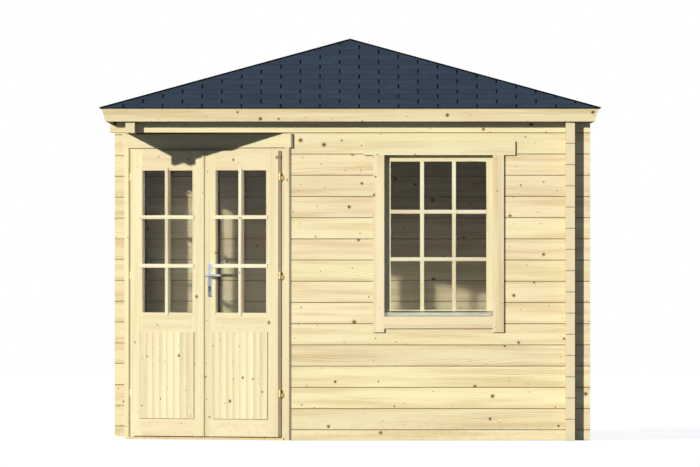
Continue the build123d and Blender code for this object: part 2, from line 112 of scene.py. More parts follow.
class CABIN_PG_timber(bpy.types.PropertyGroup):
    """Colours of the bare softwood."""
    pale: tint("Pale wood", "Softwood between the grain lines", (0.985, 0.940, 0.765))
    deep: tint("Grain line", "Late wood in the grain lines", (0.850, 0.752, 0.550))
    knot: tint("Knot", "Middle of a knot", (0.30, 0.21, 0.11))
    joint: tint("Joint", "Shade in the joints between logs", (0.54, 0.45, 0.29))
    joinery: tint("Joinery wood", "Doors, windows and trims", (0.968, 0.930, 0.762))
    bars: tint("Glazing bars", "Planed wood of the glazing bars", (0.995, 0.972, 0.850))
    end: tint("End grain", "Sawn end of a log", (0.968, 0.925, 0.775))
    sill: tint("Sill wood", "Hard threshold of the doorway", (0.93, 0.83, 0.62))


class CABIN_PG_boards(bpy.types.PropertyGroup):
    """Sizes of the matched boards."""
    roof_count: bpy.props.IntProperty(
        name="Roof boards", description="Boards from the peak to an eave", default=16, min=4
    )
    floor_width: size("Floor board", "Width of a floor board", 0.1125)
    panel_count: bpy.props.IntProperty(
        name="Panel boards", description="Upright boards in a door panel", default=8, min=2
    )
    groove: size("Groove", "Width of the chamfer along each board's edge", 0.0028)
    bar_width: size("Glazing bar", "Width of a glazing bar", 0.0262)
    bar_proud: size("Bar stands out", "How far a bar's ends stand out from the frame", 0.009)


class CABIN_PG_shingles(bpy.types.PropertyGroup):
    """Sizes and colours of the roof shingles."""
    tab_width: size("Tab width", "From slot to slot in one course", 0.2463)
    exposure: size("Exposure", "Visible depth of a course", 0.1166)
    first_course: size("First course", "Visible depth of the course at the eave", 0.0807)
    lap: size("Lap", "Hidden depth of a tab under the next course", 0.030)
    slot: size("Slot", "Gap between two tabs", 0.009)
    thickness: size("Thickness", "Thickness of a tab", 0.0018)
    # The hip strips are dark felt: painted shade that draws the hip lines.
    hip_shade_width: size("Hip strip", "Width of the strip on each side of a hip", 0.022)
    colour: tint("Shingle", "Slate granules", (0.287, 0.341, 0.398))
    # The underlay is nearly black: bare felt with the shade of the slots painted in.
    underlay_shade_colour: tint("Underlay", "Bare felt in the slots", (0.075, 0.09, 0.11))
    seed: bpy.props.IntProperty(name="Seed", description="Shade of the single tabs", default=7)


class CABIN_PG_fittings(bpy.types.PropertyGroup):
    """Sizes of the lever, plates and hinges."""
    lever_radius: size("Lever radius", "Half the thickness of the lever", 0.0085)
    hinge_radius: size("Hinge radius", "Half the thickness of a hinge barrel", 0.0072)
    screw_radius: size("Screw head", "Half the width of a screw head", 0.0034)
    metal: tint("Satin metal", "Lever and plates", (0.90, 0.92, 0.95))
    zinc: tint("Zinc", "Screws", (0.60, 0.62, 0.64))
    yellow_zinc: tint("Yellow zinc", "Hinges", (0.86, 0.79, 0.62))
    key_metal: tint("Key cylinder", "Dark nickel of the key cylinders", (0.36, 0.37, 0.39))
    aluminium: tint("Aluminium", "Drip rail", (0.76, 0.76, 0.72))


class CABIN_PG_stage(bpy.types.PropertyGroup):
    """Camera and light."""
    distance: size("Camera distance", "From the camera to the front wall", 138.9)
    height: size("Camera height", "Height of the camera over the ground", 1.2973)
    view_width: size("View width", "Width of the picture at the front wall", 4.389)
    sun: bpy.props.FloatProperty(name="Sun", description="Strength of the sun", default=3.3)
    sky: bpy.props.FloatProperty(name="Sky", description="Strength of the soft light", default=0.26)


GROUPS = {
    "cabin_timber": CABIN_PG_timber,
    "cabin_boards": CABIN_PG_boards,
    "cabin_shingles": CABIN_PG_shingles,
    "cabin_fittings": CABIN_PG_fittings,
    "cabin_stage": CABIN_PG_stage,
}


# ---------------------------------------------------------------------------
# Building node trees
# ---------------------------------------------------------------------------

class Wire:
    """An output socket of a node. Plain arithmetic on it adds Math nodes."""

    def __init__(self, socket):
        self.socket, self.tree = socket, socket.id_data

    def maths(self, kind, *others, clamp=False):
        """The result of a Math node that starts with this value."""
        return math_node(self.tree, kind, self, *others, clamp=clamp)

    def vector(self, kind, *others, result="Vector"):
        """The result of a Vector Math node that starts with this vector."""
        return node(self.tree, "ShaderNodeVectorMath", [self, *others], operation=kind)[result]

    def __add__(self, other):
        return self.maths("ADD", other)

    def __sub__(self, other):
        return self.maths("SUBTRACT", other)

    def __rsub__(self, other):
        return math_node(self.tree, "SUBTRACT", other, self)

    def __mul__(self, other):
        return self.maths("MULTIPLY", other)

    def __truediv__(self, other):
        return self.maths("DIVIDE", other)


class Made:
    """A node whose outputs are read as wires, by name or number."""

    def __init__(self, made):
        self.node = made

    def __getitem__(self, key):
        return Wire(self.node.outputs[key])


def fill(made, inputs):
    """Set a node's inputs, from a list or keyed by name or number. A wire is linked."""
    for key, value in inputs.items() if isinstance(inputs, dict) else enumerate(inputs):
        socket = made.inputs[key]
        if isinstance(value, Wire):
            value.tree.links.new(value.socket, socket)
        elif socket.type == "RGBA" and len(value) == 3:
            socket.default_value = (*value, 1.0)
        else:
            socket.default_value = value


def node(tree, kind, inputs=(), **settings):
    """Add a node with its settings and inputs."""
    made = tree.nodes.new(kind)
    for key, value in settings.items():
        setattr(made, key, value)
    fill(made, inputs)
    return Made(made)


def math_node(tree, kind, *values, clamp=False):
    return node(tree, "ShaderNodeMath", values, operation=kind, use_clamp=clamp)[0]


def split(value, kind="XYZ"):
    """The three parts of a vector or a colour."""
    made = node(value.tree, "ShaderNodeSeparate" + kind, [value])
    return made[0], made[1], made[2]


def joined(x=0.0, y=0.0, z=0.0):
    """Three values as a vector."""
    tree = next(part.tree for part in (x, y, z) if isinstance(part, Wire))
    return node(tree, "ShaderNodeCombineXYZ", [x, y, z])[0]


def ramp(value, low, high, out_low=0.0, out_high=1.0, smooth=True):
    """A value carried from one range to another."""
    kind = "SMOOTHSTEP" if smooth else "LINEAR"
    inputs = [value, low, high, out_low, out_high]
    return node(value.tree, "ShaderNodeMapRange", inputs, interpolation_type=kind)[0]


def mixed(share, first, second):
    """Two colours mixed."""
    inputs = {0: share, 6: first, 7: second}
    return node(share.tree, "ShaderNodeMix", inputs, data_type="RGBA")[2]


def noise(vector, scale, detail=2.0, roughness=0.5):
    """A noise value."""
    inputs = {"Vector": vector, "Scale": scale, "Detail": detail, "Roughness": roughness}
    return node(vector.tree, "ShaderNodeTexNoise", inputs)["Fac"]


def chance(number):
    """A colour drawn for a number."""
    return node(
        number.tree, "ShaderNodeTexWhiteNoise", {"W": number}, noise_dimensions="1D"
    )["Color"]


def shaded(colour, value, hue=0.5):
    """A colour made lighter or darker, and turned in hue."""
    inputs = {"Hue": hue, "Value": value, "Color": colour}
    return node(value.tree, "ShaderNodeHueSaturation", inputs)[0]


def linear(colour):
    """A screen colour as the light that it stands for."""
    return tuple(c / 12.92 if c <= 0.04045 else ((c + 0.055) / 1.055) ** 2.4 for c in colour)


MATERIAL = "material"
SOCKETS = {
    float: "Float", int: "Int", tuple: "Color", Vector: "Vector", str: "Material",
    type(None): "Geometry",
}


def new_group(name, inputs, outputs, kind="ShaderNodeTree"):
    """A new node group. The kind of a socket follows from its value."""
    tree = bpy.data.node_groups.new(name, kind)
    for side, labels in (("INPUT", inputs), ("OUTPUT", outputs)):
        for label, value in labels.items():
            holds = SOCKETS[type(value)]
            socket = tree.interface.new_socket(
                label, in_out=side, socket_type="NodeSocket" + holds
            )
            if side == "INPUT" and holds not in ("Geometry", "Material"):
                socket.default_value = (*value, 1.0) if holds == "Color" else value
    return Made(tree.nodes.new("NodeGroupInput")), tree.nodes.new("NodeGroupOutput")


def grouped(tree, name, inputs):
    """A node group placed in a tree with its own values."""
    return node(tree, "ShaderNodeGroup", inputs, node_tree=bpy.data.node_groups[name])


# ---------------------------------------------------------------------------
# Shader node groups
# ---------------------------------------------------------------------------

WHITE, GREY, BLACK = (1.0, 1.0, 1.0), (0.5, 0.5, 0.5), (0.0, 0.0, 0.0)
TURN = 6.2832
SPREAD = 37.0  # how far apart the pieces lie in the pattern of the grain


def softwood_group():
    """Sawn softwood: the grain runs along X of the given coordinate, and Z goes across the face."""
    given, end = new_group(
        "Softwood Grain",
        {
            "Coordinate": Vector(), "Piece Number": 0.0, "Pale": WHITE, "Deep": GREY,
            "Knot": BLACK, "Ring Spacing": 0.011, "Knot Spacing": 0.25, "Knot Size": 0.012,
        },
        {"Color": WHITE, "Height": 0.0},
    )
    drawn = chance(given["Piece Number"])
    place = given["Coordinate"].vector("ADD", drawn.vector("MULTIPLY", (SPREAD,) * 3))

    # Knots lie on a loose net over the face and run straight through the piece.
    along, deep, across = split(place)
    net = joined(along, across).vector("DIVIDE", given["Knot Spacing"])
    cell = node(
        net.tree, "ShaderNodeTexVoronoi", {"Vector": net, "Scale": 1.0, "Randomness": 1.0},
        voronoi_dimensions="2D",
    )
    wobble = noise(place, 90.0, 1.0) * 0.0025
    away = cell["Distance"] * given["Knot Spacing"] + wobble
    red, green, _ = split(cell["Color"], "Color")
    radius = (red.maths("POWER", 5.0) + 0.42) * given["Knot Size"]
    there = ramp(green, 0.18, 0.22)
    relative = away / radius
    core = ramp(relative, 1.10, 0.80) * there
    rim = ramp(relative, 2.2, 0.9) * there
    sway = ramp(relative, 7.0, 0.6) * there

    # Annual rings: long waves that give way to the knots.
    bend = noise(place.vector("MULTIPLY", (0.55, 3.0, 3.0)), 1.0, 2.0, 0.45)
    level = across + deep * 0.35 + bend * 0.24 + sway * 0.010
    late = ramp((level / given["Ring Spacing"] * TURN).maths("SINE"), -0.1, 1.0)

    # Fibres and soft clouds of tone
    fibre = noise(place.vector("MULTIPLY", (5.0, 220.0, 220.0)), 1.0, 3.0, 0.6)
    band = noise(place.vector("MULTIPLY", (1.2, 26.0, 26.0)), 1.0)
    cloud = noise(place.vector("MULTIPLY", (1.5, 6.0, 6.0)), 1.0)
    depth = late * ramp(cloud, 0.35, 0.68, 0.05, 0.50) + ramp(band, 0.40, 0.72, 0.0, 0.50)
    depth = depth.maths("ADD", ramp(fibre, 0.45, 0.8, 0.0, 0.30), clamp=True)
    wood = mixed(depth, given["Pale"], given["Deep"])

    # Each piece has its own tone, and some have a rosy or a yellow cast.
    red, _, blue = split(drawn, "Color")
    value = ramp(red, 0.0, 1.0, 0.93, 1.03, smooth=False)
    wood = shaded(wood, value, ramp(blue, 0.0, 1.0, 0.489, 0.506, smooth=False))
    wood = mixed(rim * 0.45, wood, given["Deep"])
    wood = mixed(rim * 0.22, wood, given["Knot"])
    ring = (relative * 3.1).maths("FRACT") * 0.25
    fill(end, {
        "Color": mixed(core - ring * core, wood, given["Knot"]),
        "Height": fibre * 0.4 - late * 0.3 - core * 0.5,
    })


def end_grain_group():
    """Sawn end of a log: rings round a heart that lies beside the piece."""
    given, end = new_group(
        "End Grain",
        {
            "Coordinate": Vector(), "Piece Number": 0.0, "Pale": WHITE, "Deep": GREY,
            "Ring Spacing": 0.005, "Course Height": LOG_HEIGHT,
        },
        {"Color": WHITE},
    )
    heart = chance(given["Piece Number"]).vector("MULTIPLY", (0.0, 0.10, 0.16))
    lift = joined(z=given["Piece Number"] * given["Course Height"])
    place = given["Coordinate"].vector("SUBTRACT", lift).vector("SUBTRACT", heart)
    place = place.vector("MULTIPLY", (0.0, 1.0, 1.0))
    away = place.vector("LENGTH", result="Value") + noise(place, 18.0) * 0.006
    late = ramp((away / given["Ring Spacing"] * TURN).maths("SINE"), 0.0, 1.0)
    share = (late * 0.55).maths("ADD", noise(place, 900.0) * 0.3, clamp=True)
    fill(end, {"Color": mixed(share, given["Pale"], given["Deep"])})


def joint_group():
    """The shade in a joint, round every course edge."""
    given, end = new_group(
        "Joint Shade",
        {"Height": 0.0, "First Edge": 0.0, "Course Height": LOG_HEIGHT, "Width": 0.003},
        {"Mask": 0.0},
    )
    moved = given["Height"] - given["First Edge"]
    away = moved.maths("PINGPONG", given["Course Height"] * 0.5)
    fill(end, {"Mask": ramp(away / given["Width"], 1.0, 0.45)})


def weathering_group():
    """Where dust settles: faces that look up, and splashes near the ground."""
    given, end = new_group(
        "Weathering",
        {"Coordinate": Vector(), "Normal": Vector(), "Splash Height": 0.25, "Amount": 0.2},
        {"Mask": 0.0},
    )
    patch = ramp(noise(given["Coordinate"], 22.0, 4.0, 0.65), 0.42, 0.72)
    splash = ramp(split(given["Coordinate"])[2] / given["Splash Height"], 1.0, 0.0) * patch
    settled = ramp(split(given["Normal"])[2], 0.6, 1.0) * patch
    fill(end, {"Mask": splash.maths("MAXIMUM", settled) * given["Amount"]})


def metal_group():
    """Fine marks on metal: brushing along one axis, and cloudy handling marks."""
    given, end = new_group(
        "Metal Marks",
        {"Coordinate": Vector(), "Brushing": Vector(), "Cloud Size": 0.03},
        {"Lines": 0.0, "Clouds": 0.0},
    )
    place = given["Coordinate"]
    fill(end, {
        "Lines": noise(place.vector("MULTIPLY", given["Brushing"]), 1.0, 3.0),
        "Clouds": noise(place.vector("DIVIDE", given["Cloud Size"]), 1.0, 3.0, 0.6),
    })


def granule_group():
    """Mineral granules of roofing felt, with faint stains down the slope."""
    given, end = new_group(
        "Granules",
        {"Coordinate": Vector(), "Base": GREY, "Grain Size": 0.0022},
        {"Color": WHITE, "Height": 0.0},
    )
    scaled = given["Coordinate"].vector("DIVIDE", given["Grain Size"])
    cell = node(scaled.tree, "ShaderNodeTexVoronoi", {"Vector": scaled, "Scale": 1.0})
    grain = ramp(split(cell["Color"], "Color")[0], 0.0, 1.0, 0.62, 1.40, smooth=False)
    stain = ramp(noise(given["Coordinate"], 5.0, 4.0, 0.6), 0.3, 0.7, 0.93, 1.06)
    fill(end, {
        "Color": shaded(given["Base"], grain * stain), "Height": 1.0 - cell["Distance"],
    })


# ---------------------------------------------------------------------------
# Materials
# ---------------------------------------------------------------------------

# For each run of the grain: the turns that bring it onto X, with the face's width on Z.
GRAIN_TURNS = {
    "along_x": [],
    "along_y": [(0, 0, -QUARTER)],
    "upright": [(0, QUARTER, 0)],
    "doorway": [(0, 0, EIGHTH)],
    "doorway_upright": [(0, 0, EIGHTH), (0, QUARTER, 0)],
    "window_level": [],
    "window_upright": [(0, QUARTER, 0)],
}
PIECE_STEP = 0.25  # tells the upright pieces on the two sides of an opening apart
WOOD_ROUGHNESS = 0.62
THROWN_LESS = 0.6


def new_material(name):
    """A material with its tree, its Principled shader, Object coordinates and the normal."""
    material = bpy.data.materials.new(name)
    material.use_nodes = True
    tree = material.node_tree
    tree.nodes.clear()
    shader = node(tree, "ShaderNodeBsdfPrincipled")
    node(tree, "ShaderNodeOutputMaterial", {"Surface": shader[0]})
    source = node(tree, "ShaderNodeTexCoord")
    return material, tree, shader.node, source["Object"], source["Normal"]


def bump(strength, distance, height):
    """A normal that follows fine relief."""
    inputs = {"Strength": strength, "Distance": distance, "Height": height}
    return node(height.tree, "ShaderNodeBump", inputs)[0]


def window_coordinate(place, vector):
    """A vector as in the front wall: in the left wall, the mirror image, X and Y change places."""
    x, y, z = split(vector)
    left = split(place)[0].maths("LESS_THAN", LEFT_WALL_LIMIT)
    inputs = {0: left, 4: vector, 5: joined(y, x, z)}
    return node(left.tree, "ShaderNodeMix", inputs, data_type="VECTOR")[1]


def rafter_coordinate(place):
    """Distance from the peak, side of the rafter and height under the roof."""
    x, y, z = split(place)
    run = joined(x, y).vector("LENGTH", result="Value")
    return joined(run, y.maths("ARCTAN2", x), z + run * 0.24)


def grain_coordinate(place, facing, grain):
    """The coordinate turned so that the grain runs along X, and the normal turned likewise."""
    if grain == "radial":
        return rafter_coordinate(place), facing
    if grain.startswith("window"):
        place, facing = window_coordinate(place, place), window_coordinate(place, facing)
    for turn in GRAIN_TURNS[grain]:
        place, facing = [
            node(
                vector.tree, "ShaderNodeMapping", {"Vector": vector, "Rotation": turn},
                vector_type=kind,
            )[0]
            for vector, kind in ((place, "POINT"), (facing, "NORMAL"))
        ]
    return place, facing


def by_step(first, step, low=0.0):
    """Piece numbers for pieces that follow each other across the grain."""
    return lambda place: ((split(place)[2] - low) / step).maths("FLOOR") + float(first)


def by_angle(place):
    """Piece numbers for rafters round the peak."""
    return (split(place)[1] / EIGHTH).maths("ROUND")


def by_board(first):
    """Piece numbers that the boards carry as an attribute."""
    return lambda place: node(
        place.tree, "ShaderNodeAttribute", attribute_name="board"
    )["Fac"] + float(first)


def upright_members(reach):
    """Mask for the upright members of a window frame."""
    def mask(place):
        away = (split(window_coordinate(place, place))[0] - WINDOW_MIDDLE).maths("ABSOLUTE")
        return away.maths("GREATER_THAN", reach)
    return mask


def wood_material(
    name, grain, number, colours, rings=0.011, knots=0.145, knot_size=0.0085,
    ends=None, second=None, joint=None,
):
    """Bare softwood.

    The ends are the colours of the sawn ends. The second grain is (grain, number, mask) for parts
    that run another way. The joint is (height of a course edge, shade).
    """
    material, tree, shader, place, facing = new_material(name)

    def grown(grain, number):
        """The wood along one run of the grain, with its coordinate, normal and piece number."""
        turned, end_facing = grain_coordinate(place, facing, grain)
        chosen = number(turned)
        made = grouped(tree, "Softwood Grain", {
            "Coordinate": turned, "Piece Number": chosen, "Pale": colours[0],
            "Deep": colours[1], "Knot": colours[2], "Ring Spacing": rings,
            "Knot Spacing": knots, "Knot Size": knot_size,
        })
        return made["Color"], made["Height"], turned, end_facing, chosen

    colour, height, turned, end_facing, chosen = grown(grain, number)
    if second:
        other = grown(*second[:2])
        share = second[2](place)
        colour = mixed(share, colour, other[0])
        height = height * (1.0 - share) + other[1] * share
    if ends:
        sawn = grouped(tree, "End Grain", {
            "Coordinate": turned, "Piece Number": chosen, "Pale": ends[0], "Deep": ends[1],
        })
        along = split(end_facing)[0].maths("ABSOLUTE")
        colour = mixed(ramp(along, 0.85, 0.95), colour, sawn["Color"])
    if joint:
        shade = grouped(
            tree, "Joint Shade", {"Height": split(place)[2], "First Edge": joint[0]}
        )
        colour = mixed(shade["Mask"], colour, joint[1])
    worn = grouped(
        tree, "Weathering", {"Coordinate": place, "Normal": facing, "Amount": 0.16}
    )
    colour = mixed(worn["Mask"], colour, linear((0.62, 0.56, 0.44)))
    # Wood throws less light on other wood than it shows, which keeps the deep shade of low sun.
    thrown = node(tree, "ShaderNodeLightPath")["Is Diffuse Ray"]
    rough = (WOOD_ROUGHNESS + 0.08, WOOD_ROUGHNESS - 0.06)
    fill(shader, {
        "Base Color": mixed(thrown * THROWN_LESS, colour, BLACK),
        "Roughness": ramp(height, -0.4, 0.5, *rough, smooth=False),
        "Normal": bump(0.35, 0.0006, height),
        "Specular IOR Level": 0.25,
    })
    return material


def metal_material(name, colour, roughness, brushing, cloud, depth):
    """Metal with fine marks."""
    material, tree, shader, place, _ = new_material(name)
    marks = grouped(
        tree, "Metal Marks", {"Coordinate": place, "Brushing": brushing, "Cloud Size": cloud}
    )
    shade = ramp(marks["Clouds"], 0.3, 0.7, 0.86, 1.04)
    fill(shader, {
        "Base Color": shaded(linear(colour), shade),
        "Roughness": ramp(marks["Lines"], 0.3, 0.7, roughness - 0.07, roughness + 0.09),
        "Normal": bump(0.25, depth, marks["Lines"]),
        "Metallic": 1.0,
    })
    return material


def felt_material(name, colour, grain_size, tabs):
    """Roofing felt with granules; single tabs differ a little, and faces that do not look up are
    darkened as painted shade, which also stands for bare felt on the cut edges.
    """
    material, tree, shader, place, facing = new_material(name)
    grains = grouped(
        tree, "Granules", {"Coordinate": place, "Base": linear(colour), "Grain Size": grain_size}
    )
    result, height = grains["Color"], grains["Height"]
    if tabs:
        carried = node(tree, "ShaderNodeAttribute", attribute_name="tab_shade")["Fac"]
        result = shaded(result, ramp(carried, 0.0, 1.0, 0.92, 1.06, smooth=False))
        # Painted shade: the tabs' edges and other faces that do not look up are darkened, which
        # also stands for their bare felt.
        up = split(facing)[2].maths("ABSOLUTE")
        result = shaded(result, ramp(up, 0.5, 0.7, 0.35, 1.0))
    fill(shader, {
        "Base Color": result,
        "Roughness": ramp(height, 0.2, 1.0, 0.95, 0.80),
        "Normal": bump(0.5, 0.0008, height),
        "Specular IOR Level": 0.0,
    })
    return material


def rubber_material(name, colour):
    """Matt rubber with a little dust."""
    material, _, shader, place, _ = new_material(name)
    dust = ramp(noise(place, 60.0, 3.0), 0.45, 0.8, 0.0, 0.12)
    base = mixed(dust, linear(colour), linear((0.45, 0.43, 0.38)))
    fill(shader, {"Base Color": base, "Roughness": 0.65})
    return material


def glass_material():
    """Clear window glass that lets the sun through, with faint dust."""
    material, tree, shader, place, _ = new_material("window_pane")
    fill(shader, {
        "Base Color": (0.69, 0.70, 0.72),
        "Roughness": ramp(noise(place, 7.0, 4.0, 0.6), 0.35, 0.75, 0.0, 0.05),
        "Transmission Weight": 1.0,
        "IOR": 1.25,
    })
    passing = node(tree, "ShaderNodeBsdfTransparent", {"Color": (0.87, 0.88, 0.88)})
    shadow = node(tree, "ShaderNodeLightPath")["Is Shadow Ray"]
    blend = node(tree, "ShaderNodeMixShader", [shadow, Wire(shader.outputs[0]), passing[0]])
    fill(tree.nodes["Material Output"], {"Surface": blend[0]})
    return material


def paint_node(name, material):
    """Give a CAD node its finish."""
    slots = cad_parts[name].data.materials
    slots.clear()
    slots.append(material)


class CABIN_OT_finishes(bpy.types.Operator):
    """Build every finish and give each CAD node its own"""
    bl_idname = "cabin.finishes"
    bl_label = "Finishes"

    def execute(self, context):
        for build in (softwood_group, end_grain_group, joint_group, weathering_group, metal_group,
                      granule_group):
            build()
        self.timber(context.scene.cabin_timber)
        self.other(context.scene.cabin_fittings, context.scene.cabin_shingles)
        return {"FINISHED"}

    def timber(self, wood):
        """The softwood of the logs, the joinery and the boards."""
        raw, planed, hard, light = (
            [linear(pale), linear(wood.deep), linear(wood.knot)]
            for pale in (wood.pale, wood.joinery, wood.sill, wood.bars)
        )
        # The door's wood is picked for an even look.
        calm = tuple(0.4 * a + 0.6 * b for a, b in zip(planed[0], planed[1]))
        log = dict(colours=raw, ends=[linear(wood.end), linear(wood.deep)])
        board = dict(log, rings=0.010, knots=0.2, knot_size=0.009)
        fine = dict(log, colours=planed, rings=0.009, knots=0.13, knot_size=0.0080)
        fascia = dict(fine, colours=raw)
        door = dict(fine, colours=[planed[0], calm, planed[2]])
        sill = dict(fine, colours=hard)
        bars = dict(fine, colours=light)
        half_course, shade = LOG_HEIGHT / 2, linear(wood.joint)

        # Material, run of the grain, piece numbers, kind of wood and the CAD nodes that get it
        finishes = [
            ("over_door_timber", "doorway", by_step(90, LOG_HEIGHT, half_course),
             dict(log, joint=(half_course, shade)), "over_door_odd_logs over_door_even_logs"),
            ("doorway_upright_timber", "doorway_upright", by_step(100, PIECE_STEP), door,
             "door_jambs door_side_trims left_leaf_stiles right_leaf_stiles meeting_strip"),
            ("doorway_level_timber", "doorway", by_step(120, 0.31), door,
             "door_head door_top_trim left_leaf_rails right_leaf_rails"),
            ("sill_timber", "doorway", by_step(140, 0.2), sill, "door_sill"),
            ("window_level_timber", "window_level", by_step(170, 0.5), fine,
             "window_top_trim window_bottom_trim"),
            ("window_upright_timber", "window_upright", by_step(180, PIECE_STEP), fine,
             "window_side_trims"),
            ("rafter_grain_timber", "radial", by_angle, log, "hip_rafters middle_rafters"),
            ("peak_block_timber", "upright", by_step(200, PIECE_STEP), log, "peak_block"),
            ("floor_joist_timber", "along_x", by_step(210, 1.0), log, "floor_joists"),
            ("board_timber_along_x", "along_x", by_board(220), board, ""),
            ("board_timber_along_y", "along_y", by_board(220), board, ""),
            ("door_board_timber", "doorway_upright", by_board(260), door, ""),
            ("glazing_bar_level", "doorway", by_step(300, 0.2), bars, ""),
            ("glazing_bar_upright", "doorway_upright", by_step(305, PIECE_STEP), bars, ""),
            ("window_bar_level", "window_level", by_step(310, 0.2), bars, ""),
            ("window_bar_upright", "window_upright", by_step(320, PIECE_STEP), bars, ""),
        ]
        for turns, side in enumerate(SIDES):
            # Side walls start half a course higher than the front and the back.
            low, edge = (0.0, 0.0) if turns % 2 else (half_course - LOG_HEIGHT, half_course)
            grain = "along_y" if turns % 2 else "along_x"
            finishes += [
                (side + "_log_timber", grain, by_step(20 * turns, LOG_HEIGHT, low),
                 dict(log, joint=(edge, shade)), f"{side}_wall_odd_logs {side}_wall_even_logs"),
                (side + "_fascia_timber", grain, by_step(190, 3.0), fascia, "fascia_" + side),
            ]
        for name, reach in (("window_frame", 0.3405), ("window_sash", 0.300)):
            upright = ("window_upright", by_step(160, PIECE_STEP), upright_members(reach))
            frames = dict(
                colours=planed, rings=0.009, knots=0.19, knot_size=0.006, second=upright
            )
            finishes.append((name + "_timber", "window_level", by_step(150, 0.5), frames, name))
        for name, grain, number, kind, nodes in finishes:
            made = wood_material(name, grain, number, **kind)
            for painted in nodes.split():
                paint_node(painted, made)

    def other(self, fit, roof):
        """Felt, metal, rubber and glass."""
        felt_material("granule_felt", roof.colour, 0.0024, True)
        # Dark felt for the underlay and the hip strips: painted shade in the slots and along the
        # hips.
        felt_material("bare_felt", roof.underlay_shade_colour, 0.0018, False)
        even, fine = (90.0, 90.0, 90.0), (300.0, 300.0, 120.0)
        plate = metal_material("brushed_metal", fit.metal, 0.34, (90.0, 90.0, 900.0), 0.03, 0.00008)
        metal_material("bright_zinc", fit.zinc, 0.42, fine, 0.012, 0.0001)
        metal_material("yellow_zinc", fit.yellow_zinc, 0.50, fine, 0.012, 0.0001)
        metal_material("dark_nickel", fit.key_metal, 0.45, even, 0.02, 0.0001)
        # Near black for the keyholes: painted shade of the hole.
        metal_material("dark_bore", (0.06, 0.06, 0.06), 0.5, even, 0.02, 0.0001)
        rail = metal_material(
            "drip_rail_metal", fit.aluminium, 0.40, (8.0, 500.0, 500.0), 0.08, 0.0001
        )
        # Dark rubber for the lining behind the door glass: painted shade on the reveal.
        rubber_material("rubber_seal", (0.25, 0.25, 0.24))
        glass = glass_material()
        paint_node("window_drip_rail", rail)
        paint_node("lock_plates", plate)
        for name in ("left_leaf_glass", "right_leaf_glass", "window_glass"):
            paint_node(name, glass)


# ---------------------------------------------------------------------------
# Meshes
# ---------------------------------------------------------------------------

def new_tree(name, inputs):
    """A new Geometry Nodes tree with named inputs and one geometry output."""
    given, end = new_group(
        name, {"Geometry": None, **inputs}, {"Geometry": None}, "GeometryNodeTree"
    )
    return end.id_data, given, end


def marked(points, name, value):
    """Points that carry a number as an attribute."""
    return node(
        points.tree, "GeometryNodeStoreNamedAttribute",
        {"Geometry": points, "Name": name, "Value": value}, data_type="FLOAT", domain="POINT",
    )[0]


def close_tree(instances, material, end):
    """Instances on their points, then Realize Instances and Set Material, end a tree."""
    tree = end.id_data
    made = node(tree, "GeometryNodeInstanceOnPoints", instances)[0]
    real = node(tree, "GeometryNodeRealizeInstances", {"Geometry": made})[0]
    fill(end, [node(tree, "GeometryNodeSetMaterial", {"Geometry": real, "Material": material})[0]])


def linked(name, data):
    """A new object in the scene."""
    made = bpy.data.objects.new(name, data)
    bpy.context.scene.collection.objects.link(made)
    return made


def evaluated_mesh(holder):
    """The plain mesh of an object with its modifiers."""
    bpy.context.view_layer.update()
    ready = holder.evaluated_get(bpy.context.evaluated_depsgraph_get())
    return bpy.data.meshes.new_from_object(ready)


def grown_mesh(tree, values, start=None):
    """The plain mesh that a tree makes with these inputs."""
    holder = linked("grown", start or bpy.data.meshes.new("grown"))
    modifier = holder.modifiers.new("grown", "NODES")
    modifier.node_group = tree
    for item in tree.interface.items_tree:
        if item.item_type == "SOCKET" and item.in_out == "INPUT" and item.name in values:
            modifier[item.identifier] = values[item.name]
    mesh = evaluated_mesh(holder)
    holder.modifiers.remove(modifier)
    bpy.data.objects.remove(holder)
    return mesh


def add_piece(name, mesh, body, material=None, replaces=(), smooth=None):
    """A finished piece at the origin that rides on a body."""
    piece = linked(name, mesh)
    if material:
        mesh.materials.clear()
        mesh.materials.append(bpy.data.materials[material])
    if smooth is not None:
        for polygon in mesh.polygons:
            polygon.use_smooth = True
        mesh.set_sharp_from_angle(angle=math.radians(smooth))
    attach(piece, body)
    if replaces:
        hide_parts(*replaces)


def plain(solid):
    """A mesh in the making, finished as it is."""
    mesh = bpy.data.meshes.new("part")
    solid.to_mesh(mesh)
    solid.free()
    return mesh


def outward(solid):
    """A mesh in the making, finished with its faces looking out."""
    bmesh.ops.remove_doubles(solid, verts=solid.verts[:], dist=1e-7)
    bmesh.ops.recalc_face_normals(solid, faces=solid.faces[:])
    return plain(solid)


def pour(solid, part, place):
    """Carry a part to its place and into a mesh in the making."""
    part.transform(place)
    mesh = plain(part)
    solid.from_mesh(mesh)
    bpy.data.meshes.remove(mesh)


def join_meshes(meshes):
    """Several meshes as one, with their attributes and material."""
    joint = bmesh.new()
    for mesh in meshes:
        joint.from_mesh(mesh)
    result = plain(joint)
    for material in meshes[0].materials:
        result.materials.append(material)
    return result


def cut_away(mesh, planes):
    """Cut off what lies beyond each plane (point, outward normal) and close the cuts."""
    solid = bmesh.new()
    solid.from_mesh(mesh)
    for point, normal in planes:
        everything = solid.verts[:] + solid.edges[:] + solid.faces[:]
        cut = bmesh.ops.bisect_plane(
            solid, geom=everything, dist=1e-6, plane_co=point, plane_no=normal, clear_outer=True
        )
        edges = [e for e in cut["geom_cut"] if isinstance(e, bmesh.types.BMEdge)]
        bmesh.ops.holes_fill(solid, edges=edges, sides=0)
    solid.to_mesh(mesh)
    solid.free()
    return mesh


def chamfered_box(solid, low, high, edge=0.0):
    """Add a box between two corners, with every edge eased when an edge size is given."""
    size_of = Vector(high) - Vector(low)
    middle = (Vector(high) + Vector(low)) / 2
    place = Matrix.Translation(middle) @ Matrix.Diagonal((*size_of, 1.0))
    made = bmesh.ops.create_cube(solid, size=1.0, matrix=place)
    if edge:
        edges = {e for v in made["verts"] for e in v.link_edges}
        bmesh.ops.bevel(
            solid, geom=list(edges), offset=edge, segments=2, profile=0.7, affect="EDGES"
        )


